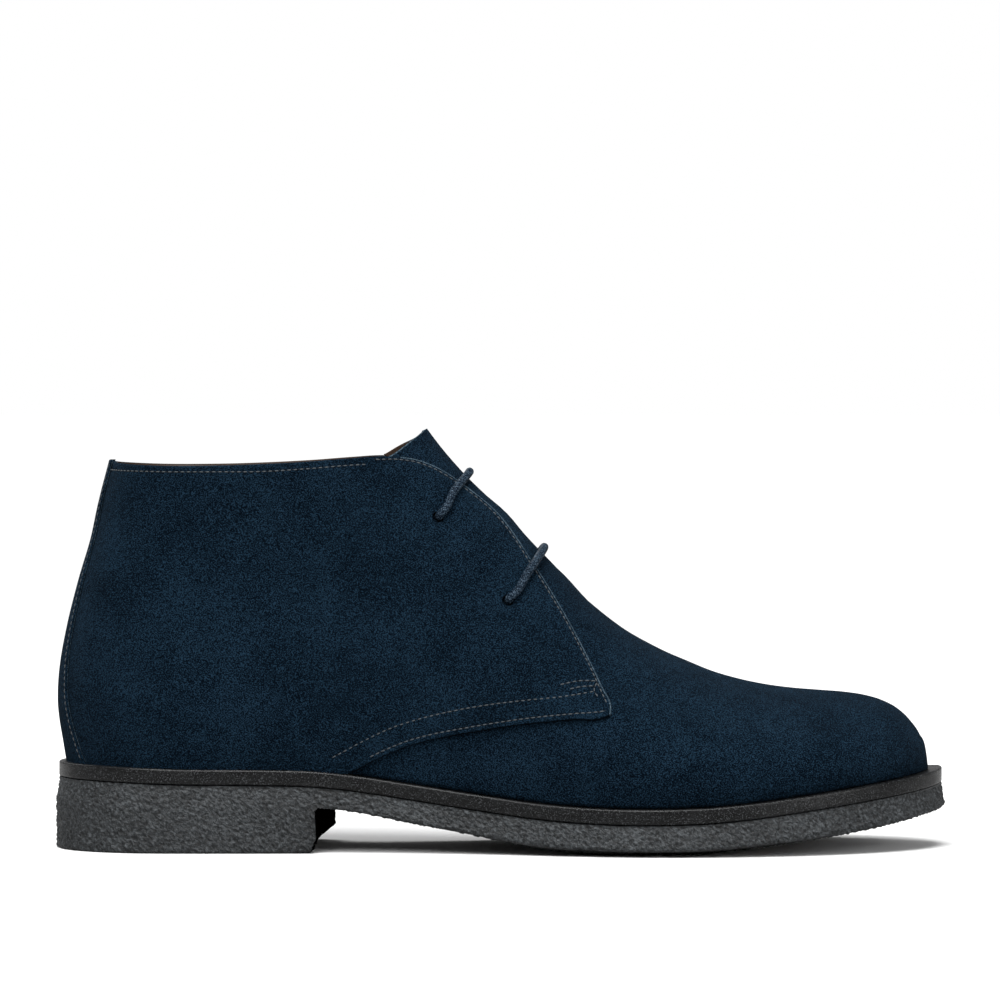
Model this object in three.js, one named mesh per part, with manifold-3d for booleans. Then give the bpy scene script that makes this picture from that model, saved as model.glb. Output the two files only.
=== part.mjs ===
// Chukka boot for the right foot: a low ankle boot on a crepe rubber sole.
// Millimetres. While it is drawn, X runs from the back of the heel to the toe, Y towards the
// medial (inner) side, Z up, and the floor is z = 0. The group is then shifted so that the
// origin is under the middle of the boot.

import * as THREE from "three";
import { mergeVertices } from "three/addons/utils/BufferGeometryUtils.js";
import Module from "manifold-3d";

const wasm = await Module();
wasm.setup();

// ---- driving dimensions ----

const LENGTH = 302; // outsole, heel to toe
const HEEL_CENTRE = 42; // x of the widest place of the heel
const HEEL_HALF = 35; // half of the outsole's width there
const HEEL_ROUND = 2.15; // roundness of the heel's plan, 2 being an ellipse
const TOE_Y = 9; // how far the toe's tip stands towards the medial side
const TOE_ROUND = 2.1; // roundness of the toe's plan

const STRIP_THICK = 5; // midsole strip
const STRIP_INSET = 1; // its edge inside the outsole's
const GAP = 0.3; // between pieces that meet along a curve
const HEEL_EDGE = 1.2; // rounding of the heel's bottom edge
const UPPER_INSET = 5.7; // the upper's foot inside the outsole's edge
const UPPER_WALL = 1.7; // suede and lining together
const QUARTER_THICK = 1.3;
const STAY_THICK = 1;
const INSOLE_THICK = 4;
const INSOLE_INSET = 9;

const HIND_X = 45; // behind this the upper's sections are level, before it they stand across
const HIND_ROUND = 2.15;
const TONGUE_TIP = { x: 125.6, z: 141.7 };
const CROWN_ROUND = 2.2; // roundness of the form across its top line
const SWELL = 0.055; // how far its sides swell over its foot, as a share
const SWELL_REACH = 0.7; // the share of its height over which they do
const FINE = 60; // steps of a column before it is evened out

const EYELET_RADIUS = 1.75;
const LACE_RADIUS = 1.4;
const LACE_CLEAR = 0.35; // between the lace and what it crosses
const BAR_STEPS = 14; // steps of a lace bar from an eyelet to the top line
const SLIT = 1.6; // width of the slits that free the tongue's sides
const SLIT_BEHIND = 9; // the slits behind the quarters' front edges
const SLIT_FOOT = 84; // height of the slits' lower ends
const SLIT_LEAN = 11; // how far they lean back above the quarters

// ---- tables: one row for each section ----

// Half-widths of the outsole between the heel's and the toe's rounded ends.
const OUTLINE_LATERAL = [
  { x: 42, half: 35 },
  { x: 70, half: 34.9 },
  { x: 95, half: 34.6 },
  { x: 120, half: 36.2 },
  { x: 145, half: 40.5 },
  { x: 170, half: 47.5 },
  { x: 190, half: 52.3 },
  { x: 205, half: 53.8 },
];
const OUTLINE_MEDIAL = [
  { x: 42, half: 35 },
  { x: 70, half: 34 },
  { x: 95, half: 31.2 },
  { x: 120, half: 30 },
  { x: 145, half: 32.2 },
  { x: 170, half: 38.5 },
  { x: 190, half: 45.5 },
  { x: 207, half: 50.4 },
  { x: 222, half: 52 },
];

// Top of the midsole strip along the boot.
const STRIP_TOP = [
  { x: 0, z: 29.4 },
  { x: 20, z: 28.8 },
  { x: 45, z: 28 },
  { x: 70, z: 27.8 },
  { x: 88, z: 27.3 },
  { x: 104, z: 25.6 },
  { x: 120, z: 23.2 },
  { x: 142, z: 20 },
  { x: 164, z: 17.2 },
  { x: 186, z: 15.9 },
  { x: 204, z: 15.8 },
  { x: 221, z: 16.4 },
  { x: 238, z: 18 },
  { x: 255, z: 20.2 },
  { x: 275, z: 22.9 },
  { x: 295, z: 25.8 },
  { x: 302, z: 27 },
];

// Underside of the outsole's edge from the heel's breast to the toe, and how far its middle
// hangs below that (belly).
const UNDERSIDE = [
  { x: 87, z: 0.4, belly: 0 },
  { x: 88.9, z: 5.5, belly: 0 },
  { x: 88.4, z: 14.2, belly: 0 },
  { x: 89.6, z: 15.4, belly: 0 },
  { x: 98.5, z: 14.4, belly: 0 },
  { x: 109, z: 12.6, belly: 0 },
  { x: 120, z: 10.4, belly: 0 },
  { x: 131, z: 8.5, belly: 0.1 },
  { x: 142, z: 6.7, belly: 0.3 },
  { x: 153, z: 5, belly: 0.8 },
  { x: 164, z: 3.6, belly: 1.4 },
  { x: 177, z: 2.5, belly: 1.9 },
  { x: 188, z: 2, belly: 2 },
  { x: 204, z: 1.9, belly: 1.9 },
  { x: 216, z: 2.1, belly: 2 },
  { x: 227, z: 2.8, belly: 1.8 },
  { x: 238, z: 3.9, belly: 1.5 },
  { x: 255, z: 6.2, belly: 1.2 },
  { x: 274, z: 9, belly: 1 },
  { x: 290, z: 11.8, belly: 0.7 },
  { x: 303, z: 14, belly: 0.4 },
  { x: 312, z: 15.6, belly: 0.4 },
];
const BREAST_SLANT = 5.5; // the breast's medial corner in front of its lateral one
const BREAST_BOW = 1.6; // its middle behind its corners
const BREAST_CUT = [0.4, 5.5]; // heights between which the slant and the bow set in
const BELLY_FLAT = 15; // half-width of the belly's flat middle
const BELLY_REACH = 48; // half-width of the whole belly
const OUTSOLE_TAPER = 1.2; // the outsole's top edge inside its bottom one

// Top line of the vamp and tongue. Behind the tongue's tip it goes on above the collar.
const RIDGE = [
  { x: 45, z: 640 },
  { x: 70, z: 420 },
  { x: 85, z: 300 },
  { x: 100, z: 210 },
  { x: 110, z: 172 },
  { x: 118, z: 153 },
  { x: 125.6, z: 141.7 },
  { x: 133, z: 132.4 },
  { x: 141, z: 123.8 },
  { x: 150.5, z: 114.4 },
  { x: 157.3, z: 107.6 },
  { x: 164, z: 100.6 },
  { x: 171, z: 93.2 },
  { x: 177.5, z: 86 },
  { x: 184.4, z: 80 },
  { x: 191, z: 74.8 },
  { x: 198, z: 70.5 },
  { x: 206, z: 66.3 },
  { x: 214.5, z: 62.6 },
  { x: 223, z: 59.2 },
  { x: 232, z: 56.6 },
  { x: 241, z: 54.7 },
  { x: 250, z: 53.5 },
  { x: 260, z: 52.6 },
  { x: 268, z: 51.8 },
  { x: 275, z: 50.7 },
  { x: 280.5, z: 49.2 },
  { x: 285.5, z: 46.6 },
  { x: 290, z: 42.6 },
  { x: 293.4, z: 37.8 },
  { x: 295.5, z: 32.6 },
  { x: 296.3, z: 26.6 },
];

// Collar of the upper's inner body, and the tongue's top edge from there to its tip.
const TOP_LINE = [
  { x: 16, z: 129.2 },
  { x: 67, z: 129.2 },
  { x: 85, z: 130.1 },
  { x: 100, z: 131.2 },
  { x: 109, z: 131.5 },
  { x: 114, z: 133 },
  { x: 120, z: 137.3 },
  { x: 125.6, z: 141.7 },
];
// Collar edge of the quarters.
const COLLAR = [
  { x: -20, z: 129.9 },
  { x: 67, z: 129.9 },
  { x: 85, z: 130.8 },
  { x: 100, z: 131.9 },
  { x: 110, z: 132.4 },
];

// Back of the upper, under the back stay.
const HEEL_BACK = [
  { z: 26, x: 6.9 },
  { z: 36, x: 4.9 },
  { z: 42, x: 3.9 },
  { z: 49, x: 3.3 },
  { z: 63, x: 4.3 },
  { z: 76, x: 6.7 },
  { z: 90, x: 10.3 },
  { z: 104, x: 14.3 },
  { z: 118, x: 17.4 },
  { z: 132, x: 21.2 },
];

// Width of the hind part against its width at the foot.
const HIND_WIDTH = [
  { z: 26, share: 1 },
  { z: 36, share: 1.05 },
  { z: 48, share: 1.08 },
  { z: 62, share: 1.06 },
  { z: 78, share: 1 },
  { z: 95, share: 0.95 },
  { z: 112, share: 0.93 },
  { z: 132, share: 0.96 },
];

// Front edge and lower edge of the quarters, seen from the side.
const QUARTER_FRONT = [
  { x: 117, z: 132.1 },
  { x: 122, z: 131.1 },
  { x: 127, z: 129.2 },
  { x: 132, z: 126.4 },
  { x: 138.6, z: 121.6 },
  { x: 144.3, z: 117 },
  { x: 150.2, z: 110.9 },
  { x: 155.2, z: 104.8 },
  { x: 159.8, z: 98 },
  { x: 164.9, z: 90.4 },
  { x: 170.2, z: 82 },
  { x: 175.1, z: 73.6 },
  { x: 179.9, z: 64.8 },
  { x: 184.2, z: 56 },
  { x: 187.4, z: 49.4 },
  { x: 187.6, z: 46.9 },
  { x: 185.4, z: 45.6 },
];
const QUARTER_FOOT = [
  { x: 175, z: 45 },
  { x: 162, z: 43.8 },
  { x: 149.5, z: 42 },
  { x: 137, z: 39.8 },
  { x: 127.5, z: 37.9 },
  { x: 120, z: 35.8 },
  { x: 113, z: 33 },
  { x: 107, z: 30.2 },
  { x: 101, z: 27 },
  { x: 96, z: 23 },
];

// Eyelets, and where each lace bar crosses the top line.
const EYELETS = [
  { name: "lace_bar_upper", x: 129.9, z: 112.2, over: 139.2 },
  { name: "lace_bar_lower", x: 153.4, z: 84.3, over: 164.5 },
];

// Half-width of the back stay at each height.
const STAY = [
  { z: 20, half: 20 },
  { z: 34, half: 17 },
  { z: 60, half: 12 },
  { z: 90, half: 8.8 },
  { z: 118, half: 7.6 },
  { z: 130.6, half: 7.4 },
];

// ---- curves ----

// A smooth curve through a table: column `to` against column `from`, level past its ends.
function through(rows, from, to) {
  const at = rows.map((row) => row[from]);
  const value = rows.map((row) => row[to]);
  const last = rows.length - 1;
  const rate = (i) => (value[i + 1] - value[i]) / (at[i + 1] - at[i]);
  const slope = rows.map((row, i) => {
    if (i === 0) {
      return rate(0);
    }
    if (i === last) {
      return rate(last - 1);
    }
    const before = at[i] - at[i - 1];
    const after = at[i + 1] - at[i];
    return (rate(i - 1) * after + rate(i) * before) / (before + after);
  });
  return (where) => {
    const x = THREE.MathUtils.clamp(where, at[0], at[last]);
    let i = 0;
    while (i < last - 1 && x > at[i + 1]) {
      i += 1;
    }
    const span = at[i + 1] - at[i];
    const t = (x - at[i]) / span;
    const s = 1 - t;
    const start = (1 + 2 * t) * s * s * value[i] + t * s * s * span * slope[i];
    const end = t * t * (3 - 2 * t) * value[i + 1] - t * t * s * span * slope[i + 1];
    return start + end;
  };
}

const stripTop = through(STRIP_TOP, "x", "z");
const ridgeTop = through(RIDGE, "x", "z");
const heelBack = through(HEEL_BACK, "z", "x");
const hindWidth = through(HIND_WIDTH, "z", "share");
const topLine = through(TOP_LINE, "x", "z");

const LATERAL = { sign: -1, rows: OUTLINE_LATERAL };
const MEDIAL = { sign: 1, rows: OUTLINE_MEDIAL };
for (const side of [LATERAL, MEDIAL]) {
  side.half = through(side.rows, "x", "half");
  side.ball = side.rows[side.rows.length - 1];
}

// A quarter of a rounded arch: 1 at t = 0 and 0 at t = 1.
function arch(t, roundness) {
  return (1 - THREE.MathUtils.clamp(t, 0, 1) ** roundness) ** (1 / roundness);
}

// The outsole's edge on one side at x, moved in by inset.
function edgeY(side, x, inset) {
  const { sign, ball } = side;
  if (x < HEEL_CENTRE) {
    const t = (HEEL_CENTRE - x) / (HEEL_CENTRE - inset);
    return sign * (HEEL_HALF - inset) * arch(t, HEEL_ROUND);
  }
  if (x > ball.x) {
    const t = (x - ball.x) / (LENGTH - inset - ball.x);
    const tip = sign * TOE_Y;
    return sign * (tip + (ball.half - inset - tip) * arch(t, TOE_ROUND));
  }
  return sign * (side.half(x) - inset);
}

// ---- meshes ----

// Triangles between neighbouring rows of points, each row as long as the next.
function sheet(rows) {
  const triangles = [];
  for (let i = 0; i + 1 < rows.length; i += 1) {
    for (let j = 0; j + 1 < rows[i].length; j += 1) {
      const [a, b, c, d] = [rows[i][j], rows[i][j + 1], rows[i + 1][j + 1], rows[i + 1][j]];
      const across = a.distanceTo(c) <= b.distanceTo(d);
      triangles.push(...(across ? [a, b, c, a, c, d] : [a, b, d, b, c, d]));
    }
  }
  return triangles;
}

// One geometry of triangles given by their corners, with equal points joined.
function geometryOf(corners) {
  const geometry = new THREE.BufferGeometry().setFromPoints(corners);
  geometry.deleteAttribute("normal");
  geometry.deleteAttribute("uv");
  const merged = mergeVertices(geometry, 1e-4);
  const index = [];
  for (let i = 0; i < merged.index.count; i += 3) {
    const [a, b, c] = [0, 1, 2].map((k) => merged.index.getX(i + k));
    if (a !== b && b !== c && c !== a) {
      index.push(a, b, c);
    }
  }
  merged.setIndex(index);
  return merged;
}

// The geometry as a solid for cutting and joining, faces turned outwards.
function solidOf(geometry) {
  const bare = geometry.clone();
  bare.deleteAttribute("normal");
  bare.deleteAttribute("uv");
  const merged = mergeVertices(bare, 1e-4);
  const triVerts = new Uint32Array(merged.index.array);
  const vertProperties = new Float32Array(merged.attributes.position.array);
  const solid = new wasm.Manifold(new wasm.Mesh({ numProp: 3, vertProperties, triVerts }));
  if (solid.volume() > 0) {
    return solid;
  }
  for (let i = 0; i < triVerts.length; i += 3) {
    [triVerts[i + 1], triVerts[i + 2]] = [triVerts[i + 2], triVerts[i + 1]];
  }
  return new wasm.Manifold(new wasm.Mesh({ numProp: 3, vertProperties, triVerts }));
}

// A solid as a three.js geometry.
function shapeOf(solid) {
  const mesh = solid.getMesh();
  const geometry = new THREE.BufferGeometry();
  const positions = new THREE.BufferAttribute(mesh.vertProperties, 3);
  geometry.setAttribute("position", positions);
  geometry.setIndex(new THREE.BufferAttribute(mesh.triVerts, 1));
  geometry.computeVertexNormals();
  return geometry;
}

// The geometry of a bar along Y whose section is an outline of { x, z } rows.
function barAlongY(outline, from, to, steps = 1) {
  const shape = new THREE.Shape(outline.map((p) => new THREE.Vector2(p.x, p.z)));
  const settings = { depth: to - from, steps, bevelEnabled: false };
  return new THREE.ExtrudeGeometry(shape, settings).rotateX(Math.PI / 2).translate(0, to, 0);
}

// ---- sole pieces ----

const PLAN_STEPS = 34; // stations from heel to toe along each side

// A closed loop around the outsole's plan, moved in by inset, at the height level(x).
function loop(inset, level) {
  const points = [];
  for (let i = 0; i < 2 * PLAN_STEPS; i += 1) {
    const u = i <= PLAN_STEPS ? i : 2 * PLAN_STEPS - i;
    const side = i <= PLAN_STEPS ? LATERAL : MEDIAL;
    const share = (1 - Math.cos((Math.PI * u) / PLAN_STEPS)) / 2;
    const x = inset + (LENGTH - 2 * inset) * share;
    points.push(new THREE.Vector3(x, edgeY(side, x, inset), level(x)));
  }
  points.push(points[0]);
  return points;
}

// A solid from loops stacked one over the other, closed across its first and last loop.
function stack(loops) {
  const corners = sheet(loops);
  const [floor, roof] = [loops[0], loops[loops.length - 1]];
  const across = (rim) => rim.slice(0, PLAN_STEPS + 1).map((p, i) => [p, rim[2 * PLAN_STEPS - i]]);
  corners.push(...sheet(across(floor)));
  corners.push(...sheet(across(roof).map((pair) => pair.reverse())));
  return solidOf(geometryOf(corners));
}

// What is cut away in front of the heel and under the waist and forefoot.
function underCut() {
  const belly = through(UNDERSIDE.slice(3), "x", "belly");
  const end = { x: 312, z: -8 };
  const geometry = barAlongY([{ x: 87, z: -8 }, ...UNDERSIDE, end], -75, 75, 12);
  const corners = geometry.attributes.position;
  for (let i = 0; i < corners.count; i += 1) {
    const [x, y, z] = [corners.getX(i), corners.getY(i), corners.getZ(i)];
    const slide = BREAST_SLANT * (0.5 + y / (2 * HEEL_HALF));
    const bow = BREAST_BOW * (1 - (y / HEEL_HALF) ** 2);
    const above = THREE.MathUtils.smoothstep(z, ...BREAST_CUT);
    const slant = above * (1 - THREE.MathUtils.smoothstep(x, 92, 118));
    corners.setX(i, x + slant * (slide - bow));
    if (z > -8) {
      const fall = (Math.abs(y) - BELLY_FLAT) / (BELLY_REACH - BELLY_FLAT);
      corners.setZ(i, z - belly(x) * arch(fall, 2));
    }
  }
  return solidOf(geometry);
}

function outsole() {
  const top = (x) => stripTop(x) - STRIP_THICK - GAP;
  const block = stack([
    loop(HEEL_EDGE, () => 0),
    loop(HEEL_EDGE * 0.3, () => HEEL_EDGE * 0.3),
    loop(0, () => HEEL_EDGE),
    loop(0, (x) => top(x) - 7),
    loop(OUTSOLE_TAPER, top),
  ]);
  return block.subtract(underCut());
}

function midsole() {
  const round = 0.6;
  return stack([
    loop(STRIP_INSET + round, (x) => stripTop(x) - STRIP_THICK),
    loop(STRIP_INSET, (x) => stripTop(x) - STRIP_THICK + round),
    loop(STRIP_INSET, (x) => stripTop(x) - round),
    loop(STRIP_INSET + round, stripTop),
  ]);
}

function insole() {
  return stack([
    loop(INSOLE_INSET, footZ),
    loop(INSOLE_INSET, (x) => footZ(x) + INSOLE_THICK),
  ]);
}

// ---- the lasted form ----

const ROWS = 11; // rows of faces from the upper's foot to its top line
const HEEL_STEPS = 8; // columns round the back of the heel, on each side
const WAIST_STEPS = 10; // columns from there to the tongue's tip
const TOE_STEPS = 24; // columns from the tongue's tip to the toe
const TIP_COLUMN = HEEL_STEPS + WAIST_STEPS;
const TOE_COLUMN = TIP_COLUMN + TOE_STEPS;
const TOE_X = LENGTH - UPPER_INSET;

// Height of the upper's and the insole's foot.
function footZ(x) {
  return stripTop(x) + GAP;
}

// The boot's long axis, which bends to the medial side towards the toe.
function centreY(x) {
  return TOE_Y * THREE.MathUtils.smoothstep(x, 140, TOE_X);
}

// Half-width of the lasted form from centreY, at x and height z.
function halfWidth(side, x, z) {
  const foot = side.sign * (edgeY(side, x, UPPER_INSET) - centreY(x));
  const rise = (z - footZ(x)) / (ridgeTop(x) - footZ(x));
  const hind = 1 - THREE.MathUtils.smoothstep(x, 85, 150);
  const swell = THREE.MathUtils.clamp(rise / SWELL_REACH, 0, 1);
  const fore = 1 + 4 * SWELL * swell * (1 - swell);
  return foot * (hind * hindWidth(z) + (1 - hind) * fore) * arch(rise, CROWN_ROUND);
}

// A point of the lasted form's skin in one column, at height z.
function skinPoint(side, column, z) {
  if (column < HEEL_STEPS) {
    const turn = (Math.PI / 2) * (1 - column / HEEL_STEPS);
    const back = HIND_X - heelBack(z);
    const x = HIND_X - back * Math.sin(turn) ** (2 / HIND_ROUND);
    const y = halfWidth(side, HIND_X, z) * Math.cos(turn) ** (2 / HIND_ROUND);
    return new THREE.Vector3(x, side.sign * y * (column > 0), z);
  }
  const x = columnX(column);
  return new THREE.Vector3(x, centreY(x) + side.sign * halfWidth(side, x, z), z);
}

function columnX(column) {
  if (column <= TIP_COLUMN) {
    const share = (column - HEEL_STEPS) / WAIST_STEPS;
    return HIND_X + (TONGUE_TIP.x - HIND_X) * share;
  }
  const turn = ((column - TIP_COLUMN) / TOE_STEPS) * (Math.PI / 2);
  return TONGUE_TIP.x + (TOE_X - TONGUE_TIP.x) * Math.sin(turn);
}

// One column of the skin from its foot to its top line, in points at equal steps.
function skinColumn(side, column, extra) {
  if (column === TOE_COLUMN) {
    return new Array(ROWS + 1).fill(new THREE.Vector3(TOE_X, TOE_Y, footZ(TOE_X)));
  }
  const x = column < HEEL_STEPS ? HIND_X : columnX(column);
  const foot = footZ(column < HEEL_STEPS ? skinPoint(side, column, 28).x : x);
  const top = column < TIP_COLUMN ? topLine(x) + extra : ridgeTop(x);
  const fine = [];
  for (let k = 0; k <= FINE; k += 1) {
    fine.push(skinPoint(side, column, foot + (top - foot) * Math.sin((Math.PI * k) / (2 * FINE))));
  }
  const run = [0];
  for (let k = 1; k <= FINE; k += 1) {
    run.push(run[k - 1] + fine[k].distanceTo(fine[k - 1]));
  }
  const points = [];
  let k = 1;
  for (let row = 0; row <= ROWS; row += 1) {
    const want = (run[FINE] * row) / ROWS;
    while (k < FINE && run[k] < want) {
      k += 1;
    }
    const share = (want - run[k - 1]) / (run[k] - run[k - 1]);
    points.push(fine[k - 1].clone().lerp(fine[k], Math.min(share, 1)));
  }
  if (column >= TIP_COLUMN) {
    points[ROWS].set(x, centreY(x), top);
  }
  return points;
}

// Both sides of the skin with a normal at every point. The top line is raised by extra.
function skin(extra) {
  const sides = [LATERAL, MEDIAL].map((side) => {
    const columns = [];
    for (let column = 0; column <= TOE_COLUMN; column += 1) {
      columns.push(skinColumn(side, column, extra));
    }
    return columns;
  });
  const normals = sides.map((columns, s) =>
    columns.map((points, column) =>
      points.map((_, row) => skinNormal(sides[s], sides[1 - s], column, row, s === 0 ? 1 : -1)),
    ),
  );
  for (let column = TIP_COLUMN; column < TOE_COLUMN; column += 1) {
    const shared = normals[0][column][ROWS].clone().add(normals[1][column][ROWS]).normalize();
    normals[0][column][ROWS] = shared;
    normals[1][column][ROWS] = shared;
  }
  return { sides, normals };
}

function skinNormal(own, other, column, row, turn) {
  if (column === TOE_COLUMN) {
    return new THREE.Vector3(1, 0, 0);
  }
  const ahead = own[column + 1][row];
  const behind = column === 0 ? other[1][row] : own[column - 1][row];
  const closed = column >= TIP_COLUMN;
  const above = row < ROWS ? own[column][row + 1] : closed ? other[column][row - 1] : own[column][row];
  const below = own[column][Math.max(row - 1, 0)];
  const along = ahead.clone().sub(behind);
  const normal = along.cross(above.clone().sub(below)).multiplyScalar(turn);
  if (row === 0 || (row === ROWS && !closed)) {
    normal.z = 0;
  }
  return normal.normalize();
}

// A closed wall between two offsets from the skin.
function wall(inner, outer, extra = 0) {
  const { sides, normals } = skin(extra);
  const faces = [];
  sides.forEach((columns, s) => {
    const layer = (offset) =>
      columns.map((points, column) =>
        points.map((point, row) => point.clone().addScaledVector(normals[s][column][row], offset)),
      );
    const [within, without] = [layer(inner), layer(outer)];
    const feet = [within.map((points) => points[0]), without.map((points) => points[0])];
    const open = (columnsOf) => columnsOf.slice(0, TIP_COLUMN + 1).map((points) => points[ROWS]);
    const tops = [open(without), open(within)];
    const flip = (rows) => rows.map((points) => [...points].reverse());
    for (const rows of [flip(without), within, feet, tops]) {
      faces.push(...sheet(s === 0 ? rows : flip(rows)));
    }
  });
  return solidOf(geometryOf(faces));
}

// ---- pieces of the upper ----

// Outline of a quarter seen from the side.
const QUARTER = [...COLLAR, ...QUARTER_FRONT, ...QUARTER_FOOT, { x: 96, z: 0 }, { x: -20, z: 0 }];

// A hole along Y at each eyelet.
function eyeletHoles() {
  const holes = EYELETS.map(({ x, z }) => {
    const pin = new THREE.CylinderGeometry(EYELET_RADIUS, EYELET_RADIUS, 160, 16);
    return solidOf(pin.translate(x, 0, z));
  });
  return holes[0].add(holes[1]);
}

// Slits from the collar down behind the quarters' front edges, which free the tongue's sides.
function tongueSlits() {
  const behind = QUARTER_FRONT.filter((row) => row.z > SLIT_FOOT - 6);
  const [back, front] = [SLIT_BEHIND + SLIT, SLIT_BEHIND].map((inset) =>
    behind.map((row, i) => {
      const next = behind[Math.min(i + 1, behind.length - 1)];
      const last = behind[Math.max(i - 1, 0)];
      const run = new THREE.Vector2(next.x - last.x, next.z - last.z).normalize();
      return { x: row.x + run.y * inset, z: row.z - run.x * inset };
    }),
  );
  const rise = (line) => ({ x: line[0].x - SLIT_LEAN, z: 140 });
  const outline = [rise(back), ...back, ...front.reverse(), { x: rise(back).x + SLIT, z: 140 }];
  return solidOf(barAlongY(outline, -80, 80));
}

function upper() {
  return wall(-UPPER_WALL, 0).subtract(eyeletHoles()).subtract(tongueSlits());
}

function quarter(side) {
  const cover = wall(GAP, GAP + QUARTER_THICK, 4);
  const reach = [side.sign * GAP * 0.5, side.sign * 80].sort((a, b) => a - b);
  const cut = solidOf(barAlongY(QUARTER, ...reach));
  return cover.intersect(cut).subtract(eyeletHoles());
}

// The strip that covers the quarters' seam at the back.
function backStay() {
  const under = 2 * GAP + QUARTER_THICK;
  const cover = wall(under, under + STAY_THICK, 4);
  const edge = STAY.map(({ half, z }) => ({ x: half, z }));
  const far = STAY.map(({ half, z }) => ({ x: -half, z })).reverse();
  const bar = barAlongY([...edge, ...far], -HEEL_CENTRE, 20);
  return cover.intersect(solidOf(bar.rotateZ(-Math.PI / 2)));
}

// A lace bar that crosses the tongue between two eyelets, clear of everything under it.
function laceBar({ x, z, over }) {
  const low = LACE_CLEAR + LACE_RADIUS;
  const high = low + GAP + QUARTER_THICK;
  const lean = new THREE.Vector3(over - x, 0, ridgeTop(over) - z);
  const flat = lean.clone().normalize().cross(new THREE.Vector3(0, 1, 0));
  const points = [];
  const lifts = [];
  for (let k = -BAR_STEPS; k <= BAR_STEPS; k += 1) {
    const side = k < 0 ? LATERAL : MEDIAL;
    const share = Math.sin((Math.PI / 2) * (1 - Math.abs(k) / BAR_STEPS));
    const at = new THREE.Vector3(x, 0, z).addScaledVector(lean, share);
    points.push(at.setY(centreY(at.x) + side.sign * halfWidth(side, at.x, at.z)));
    lifts.push(THREE.MathUtils.lerp(high, low, THREE.MathUtils.smoothstep(share, 0.55, 1)));
  }
  const path = points.map((point, k) => {
    const before = points[Math.max(k - 1, 0)];
    const after = points[Math.min(k + 1, points.length - 1)];
    const away = after.clone().sub(before).cross(flat).normalize();
    return point.clone().addScaledVector(away, away.dot(lean) < 0 ? -lifts[k] : lifts[k]);
  });
  const shape = new THREE.Shape().absarc(0, 0, LACE_RADIUS, 0, 2 * Math.PI);
  const extrudePath = new THREE.CatmullRomCurve3(path);
  const settings = { steps: 2 * BAR_STEPS, curveSegments: 5, bevelEnabled: false, extrudePath };
  return solidOf(new THREE.ExtrudeGeometry(shape, settings));
}

// ---- the boot ----

const SUEDE = { color: 0x16293d, roughness: 0.95, metalness: 0 };
const PIECES = [
  { name: "outsole", solid: outsole(), color: 0x45494c, roughness: 0.85, metalness: 0 },
  { name: "midsole", solid: midsole(), color: 0x18191a, roughness: 0.35, metalness: 0 },
  { name: "insole", solid: insole(), color: 0x4a392c, roughness: 0.7, metalness: 0 },
  { name: "upper", solid: upper(), ...SUEDE },
  { name: "quarter_outer", solid: quarter(LATERAL), ...SUEDE },
  { name: "quarter_inner", solid: quarter(MEDIAL), ...SUEDE },
  { name: "back_stay", solid: backStay(), ...SUEDE },
];
for (const eyelet of EYELETS) {
  const solid = laceBar(eyelet);
  PIECES.push({ name: eyelet.name, solid, color: 0x2b3647, roughness: 0.5, metalness: 0 });
}

const group = new THREE.Group();
for (const { name, solid, ...look } of PIECES) {
  const mesh = new THREE.Mesh(shapeOf(solid), new THREE.MeshStandardMaterial(look));
  mesh.name = name;
  group.add(mesh);
}
const box = new THREE.Box3().setFromObject(group);
const middle = box.getCenter(new THREE.Vector3());
group.position.set(-middle.x, -middle.y, -box.min.z);

export default group;
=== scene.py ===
"""Right chukka boot in navy suede on a grey crepe sole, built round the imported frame.

The lasted form is worked out in millimetres, with X from heel to toe, Y to the medial side and
the floor at z = 0, from the same tables as the part, and moved into the row frame at the end.
"""

import math

import bmesh
import bpy
import numpy as np
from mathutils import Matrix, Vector, noise


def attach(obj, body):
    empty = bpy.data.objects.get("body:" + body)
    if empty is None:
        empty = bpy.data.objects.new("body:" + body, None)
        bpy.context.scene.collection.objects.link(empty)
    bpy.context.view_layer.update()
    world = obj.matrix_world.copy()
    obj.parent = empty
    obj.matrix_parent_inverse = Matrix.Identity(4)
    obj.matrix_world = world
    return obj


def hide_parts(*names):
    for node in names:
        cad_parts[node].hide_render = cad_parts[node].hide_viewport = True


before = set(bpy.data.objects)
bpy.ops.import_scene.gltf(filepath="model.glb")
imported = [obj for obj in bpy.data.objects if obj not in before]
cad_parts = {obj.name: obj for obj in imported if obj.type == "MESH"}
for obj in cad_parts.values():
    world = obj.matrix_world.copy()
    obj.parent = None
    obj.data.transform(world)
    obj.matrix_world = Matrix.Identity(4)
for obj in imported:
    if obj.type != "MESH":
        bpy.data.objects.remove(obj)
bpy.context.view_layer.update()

MM = 0.001
SHIFT = np.array([-151.0, 0.992, 0.0])  # from the drawing's origin to the row frame, in mm

# ---- sizes, in millimetres ----

LENGTH = 302.0
HEEL_CENTRE = 42.0
HEEL_HALF = 35.0
HEEL_ROUND = 2.15
TOE_Y = 9.0
TOE_ROUND = 2.1
STRIP_THICK = 5.0
STRIP_INSET = 1.0
GAP = 0.3
UPPER_INSET = 5.7
UPPER_WALL = 1.7
QUARTER_THICK = 1.3
INSOLE_THICK = 4.0
HIND_X = 45.0
HIND_ROUND = 2.15
HIND_RUN = 62.0  # length given to the turn round the heel in the flattened side view
TONGUE_TIP = (125.6, 141.7)
CROWN_ROUND = 2.2
SWELL = 0.055
SWELL_REACH = 0.7
LACE_RADIUS = 1.4
LACE_CLEAR = 0.35
BREAST_SLANT = 5.5
BREAST_BOW = 1.6
BELLY_FLAT = 15.0
BELLY_REACH = 48.0
OUTSOLE_TAPER = 1.2
TAPER_RUN = 7.0

# ---- tables: one row for each section ----

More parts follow.
